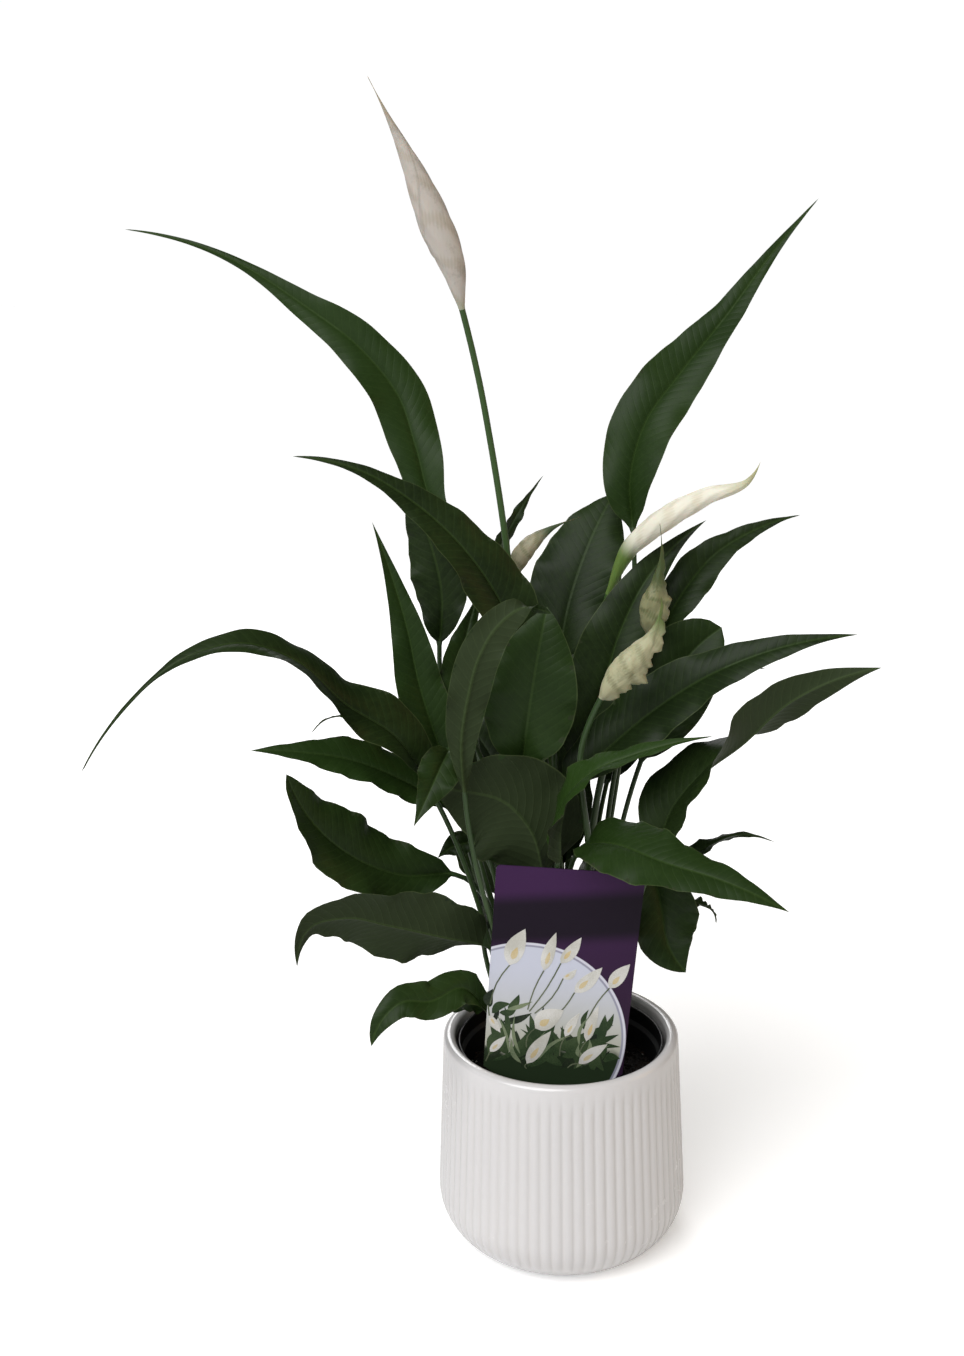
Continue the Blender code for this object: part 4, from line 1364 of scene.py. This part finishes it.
def make_plant():
    petiole = stem_material("petiole", (0.060, 0.105, 0.030), (0.028, 0.060, 0.016))
    leaf_materials = [leaf_upper(), leaf_under(), petiole]
    for leaf in LEAVES:
        make_leaf(leaf, leaf_materials)
    scape = stem_material("flower scape", (0.045, 0.095, 0.020), (0.035, 0.085, 0.015))
    # Name; neck, body, painted shade for the creases and tip; where the neck ends and the tip starts, and
    # speckle
    looks = (
        (
            "white",
            (0.26, 0.32, 0.17), (0.52, 0.475, 0.425), (0.42, 0.37, 0.30), (0.33, 0.30, 0.19),
            0.08, 0.74, 0.35,
        ),
        (
            "bud",
            (0.10, 0.15, 0.05), (0.36, 0.33, 0.22), (0.20, 0.21, 0.11), (0.05, 0.08, 0.03),
            0.16, 0.45, 0.5,
        ),
        (
            "young",
            (0.12, 0.20, 0.04), (0.82, 0.79, 0.66), (0.70, 0.65, 0.50), (0.40, 0.41, 0.22),
            0.34, 0.74, 0.08,
        ),
        (
            "upper fading",
            (0.26, 0.26, 0.16), (0.25, 0.25, 0.13), (0.10, 0.12, 0.045), (0.06, 0.085, 0.025),
            0.12, 0.34, 0.7,
        ),
        (
            "lower fading",
            (0.34, 0.33, 0.22), (0.43, 0.42, 0.26), (0.27, 0.27, 0.15), (0.11, 0.16, 0.045),
            0.10, 0.62, 0.4,
        ),
    )
    finishes = {look: spathe_material(look + " spathe", *values) for look, *values in looks}
    # Finish, slot, seam turns, overlap, crumple and lip
    spathes = {
        "tall": ("white", "white_spathe", 0.9, 0.12, 0, 0),
        "bud": ("bud", "bud_spathe", 0.5, 0.12, 0, 0),
        "open": ("young", "white_spathe", 0.5, 0.08, 0, 0),
        "faded_upper": ("upper fading", "faded_spathe", 0.6, 0.15, 1.8, 3.0),
        "faded_lower": ("lower fading", "faded_spathe", 0.6, 0.12, 1.2, 5.5),
    }
    for flower in FLOWERS:
        make_stalk(flower, petiole if flower.name.startswith("faded") else scape)
        look, slot, *shape = spathes[flower.name]
        make_spathe(flower, finishes[look], slot, *shape)


# ---------------------------------------------------------------- studio


def make_floor():
    """A plain pale floor that looks as bright as the background."""
    made, w = new_material("pale floor", Specular_IOR_Level=0.0, Emission_Color=(1, 1, 1, 1))
    patches = w.mottle(w.coordinates(), 1.0, 40.0)
    floor_colour = w.mix(patches, (0.90, 0.90, 0.90), (0.92, 0.92, 0.92))
    rough = w.math("MULTIPLY_ADD", patches, 0.05, 0.8)
    glow = w.times(w.node("ShaderNodeLightPath").outputs["Is Camera Ray"], 0.36)
    finish_material(made, Base_Color=floor_colour, Roughness=rough, Emission_Strength=glow)
    mesh = bpy.data.meshes.new("floor")
    corners = [(x * FLOOR_REACH, y * FLOOR_REACH, 0) for x, y in ((-1, -1), (1, -1), (1, 1), (-1, 1))]
    mesh.from_pydata(corners, [], [(0, 1, 2, 3)])
    floor = add_object("floor", mesh, [made], smooth=False)


def make_background():
    """White where it is looked at, and a weak fill light on the object."""
    world = bpy.data.worlds.new("studio")
    bpy.context.scene.world = world
    world.use_nodes = True
    background = world.node_tree.nodes["Background"]
    background.inputs["Color"].default_value = (1.0, 1.0, 1.0, 1.0)
    w = Shader(world.node_tree)
    seen = w.node("ShaderNodeLightPath").outputs["Is Camera Ray"]
    strength = w.math("MULTIPLY_ADD", seen, 0.90, 0.12)
    world.node_tree.links.new(strength, background.inputs["Strength"])


def make_lamps():
    sun = bpy.data.lights.new("soft sun", "SUN")
    sun.energy = 2.7
    sun.angle = math.radians(50)
    lamp = bpy.data.objects.new("soft sun", sun)
    lamp.rotation_euler = (math.radians(35), math.radians(-26), 0)
    bpy.context.scene.collection.objects.link(lamp)
    # Name, place, size, power and tint
    for name, place, size, power, tint in (
        ("front box", (-0.9, -1.5, 1.3), 0.9, 3.0, (1.0, 1.0, 1.0)),
        ("side box", (1.6, -0.2, 0.9), 0.7, 3.0, (1.0, 0.62, 0.20)),
        ("rear box", (-0.3, 1.7, 1.3), 0.8, 12.0, (1.0, 1.0, 1.0)),
    ):
        light = bpy.data.lights.new(name, "AREA")
        light.energy = power
        light.size = size
        light.color = tint
        box = bpy.data.objects.new(name, light)
        box.location = place
        box.rotation_euler = (Vector((0, 0, 0.3)) - Vector(place)).to_track_quat("-Z", "Y").to_euler()
        bpy.context.scene.collection.objects.link(box)


def make_camera():
    camera_data = bpy.data.cameras.new("camera")
    camera_data.lens = 40
    camera_data.sensor_width = 36
    camera = bpy.data.objects.new("camera", camera_data)
    camera.location = CAMERA_PLACE
    pitch, tilt = math.radians(90 - CAMERA_DOWN), math.radians(CAMERA_TILT)
    camera.rotation_mode = "QUATERNION"
    camera.rotation_quaternion = Quaternion((1, 0, 0), pitch) @ Quaternion((0, 0, 1), -tilt)
    bpy.context.scene.collection.objects.link(camera)
    bpy.context.scene.camera = camera
    bpy.context.scene.view_settings.view_transform = "Standard"


clear_startup()
make_floor()
make_background()
make_lamps()
make_camera()
make_cover_pot()
make_nursery_pot()
make_soil()
make_card()
make_print()
make_plant()
